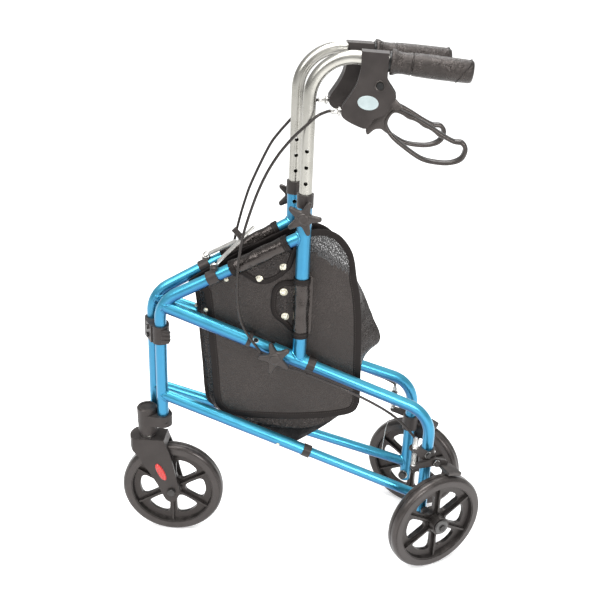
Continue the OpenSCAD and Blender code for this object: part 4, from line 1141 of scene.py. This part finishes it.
def add_welds(side):
    drop = Vector((0, math.cos(RAIL_DROP), -math.sin(RAIL_DROP)))
    climb = Vector((0, math.cos(UPPER_RISE), math.sin(UPPER_RISE)))
    bend_s, bend_way = 7.2, Vector((0, 0.475, 0.88))
    fixed = Shape()
    add_bead(fixed, Vector((0, 0, LOW_BASE)), drop, LOW_RAIL_R, UP, TUBE_R)
    add_bead(fixed, Vector((0, bend_s, mid_height(bend_s))), drop, MID_RAIL_R, bend_way, TUBE_R)
    add_bead(fixed, Vector((0, POST_S, mid_height(POST_S))), UP, POST_R, drop, SLEEVE_R)
    add_bead(fixed, Vector((0, POST_S, upper_height(POST_S))), -climb, TUBE_R, UP, POST_R)
    put_on(side, fixed, "frame_welds", BLUE_TUBE, "frame")
    moving = Shape()
    add_bead(moving, Vector((0, LEG_S, low_height(LEG_S))), -drop, BRACE_R, UP, TUBE_R)
    put_on(side, moving, "leg_welds", BLUE_TUBE, "rear")


def link_pivot(side):
    return side.at(0, LINK_S, upper_height(LINK_S) + LINK_LIFT) / MM


def add_link_tail():
    """The left link's free end, past the point where the links meet."""
    meet = Vector((0, HINGE_Y + 157, 628))
    way = (meet - link_pivot(LEFT)).normalized()
    up = (meet - link_pivot(RIGHT)).cross(way).normalized()
    wide = up.cross(way)
    rings = []
    for inset, h in ((0.5, -1.3), (0, -0.9), (0, 0.9), (0.5, 1.3)):
        outline = rounded(16 - inset, 5.5 - inset, 32, 5.0)
        rings.append([meet + way * (14 + u) + wide * v + up * h for u, v in outline])
    ride(Shape().skin(rings).make("link_tail", in_place, PALE_STEEL), "left_link")


LUG_POINTS = [(4, 428), (11, 428), (18, 429), (20, 432), (20, 441), (20, 451), (18, 454), (11, 455),
              (4, 455)]
LUG_RIBS = (435, 442.5, 450)


def add_bracket_lug():
    """The ribbed clamp end on the upper bracket's near side."""
    lug = Shape().plate(LUG_POINTS, 8, 16.2, 1)
    for z in LUG_RIBS:
        low, high = z - 1.5, z + 1.5
        rib = [(6, low), (13, low), (20.8, low), (20.8, high), (13, high), (6, high)]
        lug.plate(rib, 9, 17.4, 0.5)
    ride(lug.make("bracket_lug", LEFT.at, BLACK_PLASTIC), "left_frame")


RIVET_PROFILE = [(5.2, 1.6), (5.5, 2.2), (5.2, 3.4), (3.8, 4.3), (0, 4.6)]
RIVET_WAY = {"left": (-0.74, -0.06, 0.67), "right": (0.59, -0.12, 0.80)}


def add_rivets(side):
    head = Shape().lathe(RIVET_PROFILE, link_pivot(side), RIVET_WAY[side.name], 32)
    put_on(side, head, "link_rivet", STEEL, "frame", place=in_place)


PAD_SECTION = [(28.4, 105.3), (55.9, 105.3), (55.9, 110.6), (54, 112), (28.4, 112)]
PAD_START = 7.3
PAD_SPAN = 16.2
BRAKE_BOLTS = [(31.2, 1, 221), (20.1, -13, 237)]


def add_brake_details(side):
    axle = (0, 0, WHEEL_R)
    rings = []
    for k in range(11):
        a = math.radians(PAD_START + PAD_SPAN * k / 10)
        rings.append([(o, r * math.sin(a), WHEEL_R + r * math.cos(a)) for o, r in PAD_SECTION])
    put_on(side, Shape().skin(rings), "pad_plate", PAD_GREY, "brake_arm", place=side.wheel)
    washers = Shape()
    bolts = Shape()
    for place in BRAKE_BOLTS:
        washers.lathe([(6.6, 0), (6.9, 0.3), (6.9, 1.1), (6.6, 1.4)], place, OUT, 32)
        bolts.prism(5.9, 6, 1.2, 5.4, place, OUT, 0.6)
    washers.lathe([(9.4, 11.1), (9.6, 11.4), (9.6, 12.4), (9.4, 12.7)], axle, -OUT, 32)
    bolts.lathe([(7.8, 12.8), (8, 13.2), (8, 18.4), (7.2, 19.4), (0, 19.6)], axle, -OUT, 32)
    put_on(side, washers, "brake_washers", STEEL, "rear", place=side.wheel)
    put_on(side, bolts, "brake_bolts", DARK_STEEL, "rear", place=side.wheel)


AXLE_CAP = [(7.8, 22.6), (8, 23), (8, 27), (7.2, 28.2), (5, 28.6), (0, 28.7)]


def add_axle_caps():
    caps = Shape()
    for face in (-1, 1):
        caps.lathe(AXLE_CAP, (0, CASTER_TRAIL, WHEEL_R), OUT * face, 36)
    ride(caps.make("axle_caps", at_caster, DARK_STEEL), "caster")


HUB_PROFILE = [(13.8, 0), (14.4, 0.5), (14.4, 2.8), (13.6, 3.9), (11, 4.4), (8, 4.5), (7.8, 3.9), (0, 3.9)]
PLUG_PROFILE = [(10.9, 0.3), (10.6, -1.2), (9, -2.4), (5, -2.9), (0, -3)]
LEG_END_Z = 86
RECESS_PROFILE = [(7.6, 14.2), (8.8, 14.4), (9, 14.9), (8.5, 15.3), (7.4, 15.2), (6.2, 14.6)]
BADGE_STEPS = [(1, 14.2), (1, 14.9), (0.96, 15.3), (0.9, 15.4), (0.88, 15.25), (0.5, 15.3)]
BADGE_AT = (352.7, 889.2)


def add_fittings(side):
    hub_foot = (WHEEL_OUT + 22.35, 0, WHEEL_R)
    hub = Shape().lathe(HUB_PROFILE, hub_foot, OUT, 40)
    put_on(side, hub, "hub_cap", CAP_GREY, "rear", place=side.wheel)
    bolt = Shape().prism(6.4, 6, 3.6, 7.6, hub_foot, OUT, 0.5)
    put_on(side, bolt, "hub_bolt", DARK_STEEL, "rear", place=side.wheel)
    plug = Shape().lathe(PLUG_PROFILE, (0, LEG_S, LEG_END_Z), UP, 40)
    put_on(side, plug, "leg_plug", BLACK_PLASTIC, "rear")
    recess = Shape()
    for face in (-1, 1):
        recess.lathe(RECESS_PROFILE, (0, *LEVER_PIVOT), OUT * face, 40)
    put_on(side, recess, "pin_recess", LEVER_PLASTIC, "handle")
    rings = []
    for share, o in BADGE_STEPS:
        oval = leaning(rounded(17 * share, 11.4 * share, 48, 2.0), math.radians(-6))
        rings.append([(o, BADGE_AT[0] + u, BADGE_AT[1] + v) for u, v in oval])
    put_on(side, Shape().skin(rings), "blank_badge", BADGE, "handle")


LENS_STEPS = [(1.06, 22.2), (1.06, 23.2), (1.0, 23.5), (0.97, 24.4), (0.85, 25.0), (0.5, 25.4), (0.1, 25.5)]
LENS_AT = (27.6, 145.4)


def add_reflectors():
    for name, face in (("left", 1), ("right", -1)):
        rings = []
        for share, x in LENS_STEPS:
            oval = leaning(rounded(6.6 * share, 19 * share, 40, 2.2), math.radians(24))
            rings.append([(x * face, LENS_AT[0] + u, LENS_AT[1] + v) for u, v in oval])
        ride(Shape().skin(rings).make(name + "_reflector", at_caster, REFLECTOR), "caster")


# Lamps: name, place, size in metres, watts
LAMPS = [("key", (1.5, -1.7, 2.3), 1.2, 22), ("fill", (2.3, 1.15, 1.35), 0.8, 36),
         ("top", (0.1, 0, 2.5), 1.0, 42), ("rim", (-1.6, 0.4, 2.2), 1.0, 14)]
LAMP_AIM = Vector((0, 0, 0.5))
FLOOR_HALF = 40


def add_floor():
    half = FLOOR_HALF
    mesh = bpy.data.meshes.new("floor")
    corners = [(-half, -half, 0), (half, -half, 0), (half, half, 0), (-half, half, 0)]
    mesh.from_pydata(corners, [], [(0, 1, 2, 3)])
    floor = bpy.data.objects.new("floor", mesh)
    scene.collection.objects.link(floor)
    pale = finish("pale floor", [(0.9, 0.9, 0.9), (0.93, 0.93, 0.93)], (0.6, 0.7), patch=2, specular=0.2)
    shader = pale.node_tree.nodes["Principled BSDF"]
    shader.inputs["Emission Color"].default_value = (1, 1, 1, 1)
    shader.inputs["Emission Strength"].default_value = 0.35
    mesh.materials.append(pale)


def add_world():
    """Soft light that grows towards the top, and a white backdrop past the floor."""
    world = bpy.data.worlds.new("studio")
    scene.world = world
    world.use_nodes = True
    tree = world.node_tree
    backdrop = tree.nodes["Background"].inputs
    backdrop["Color"].default_value = (1, 1, 1, 1)
    where = node(tree, "TexCoord")
    parts = node(tree, "SeparateXYZ", [("Vector", where.outputs["Generated"])])
    height = node(tree, "MapRange", [("Value", parts.outputs["Z"]), ("From Max", 0.9), ("To Min", 0.34),
                                     ("To Max", 0.8)])
    seen = node(tree, "LightPath")
    strength = node(tree, "Mix", [("Factor", seen.outputs["Is Camera Ray"]), ("A", height.outputs["Result"]),
                                  ("B", 1.0)], data_type="FLOAT")
    tree.links.new(strength.outputs["Result"], backdrop["Strength"])


def add_lamp(name, kind, power, way):
    data = bpy.data.lights.new(name, kind)
    data.energy = power
    lamp = bpy.data.objects.new(name, data)
    lamp.rotation_euler = Vector(way).to_track_quat("Z", "Y").to_euler()
    scene.collection.objects.link(lamp)
    return lamp


def add_light():
    for name, place, size, power in LAMPS:
        lamp = add_lamp(name, "AREA", power, Vector(place) - LAMP_AIM)
        lamp.location = place
        lamp.data.size = size
    sun = add_lamp("sun", "SUN", 1.2, (0.5, -0.4, 1))
    sun.data.angle = math.radians(50)
    scene.view_settings.view_transform = "Standard"


for side in SIDES:
    add_cables(side)
    add_spring(side)
    add_knob(side, "height_knob", POST_S, KNOB_Z, POST_R, 18)
    add_knob(side, "rail_knob", RAIL_KNOB_S, mid_height(RAIL_KNOB_S), SLEEVE_R, 198)
    add_lever(side)
    add_grip(side)
    add_panel(side)
    add_straps(side)
    add_snaps(side)
    add_welds(side)
    add_rivets(side)
    add_brake_details(side)
    add_fittings(side)
add_gusset()
add_link_tail()
add_bracket_lug()
add_axle_caps()
add_reflectors()
add_floor()
add_world()
add_light()
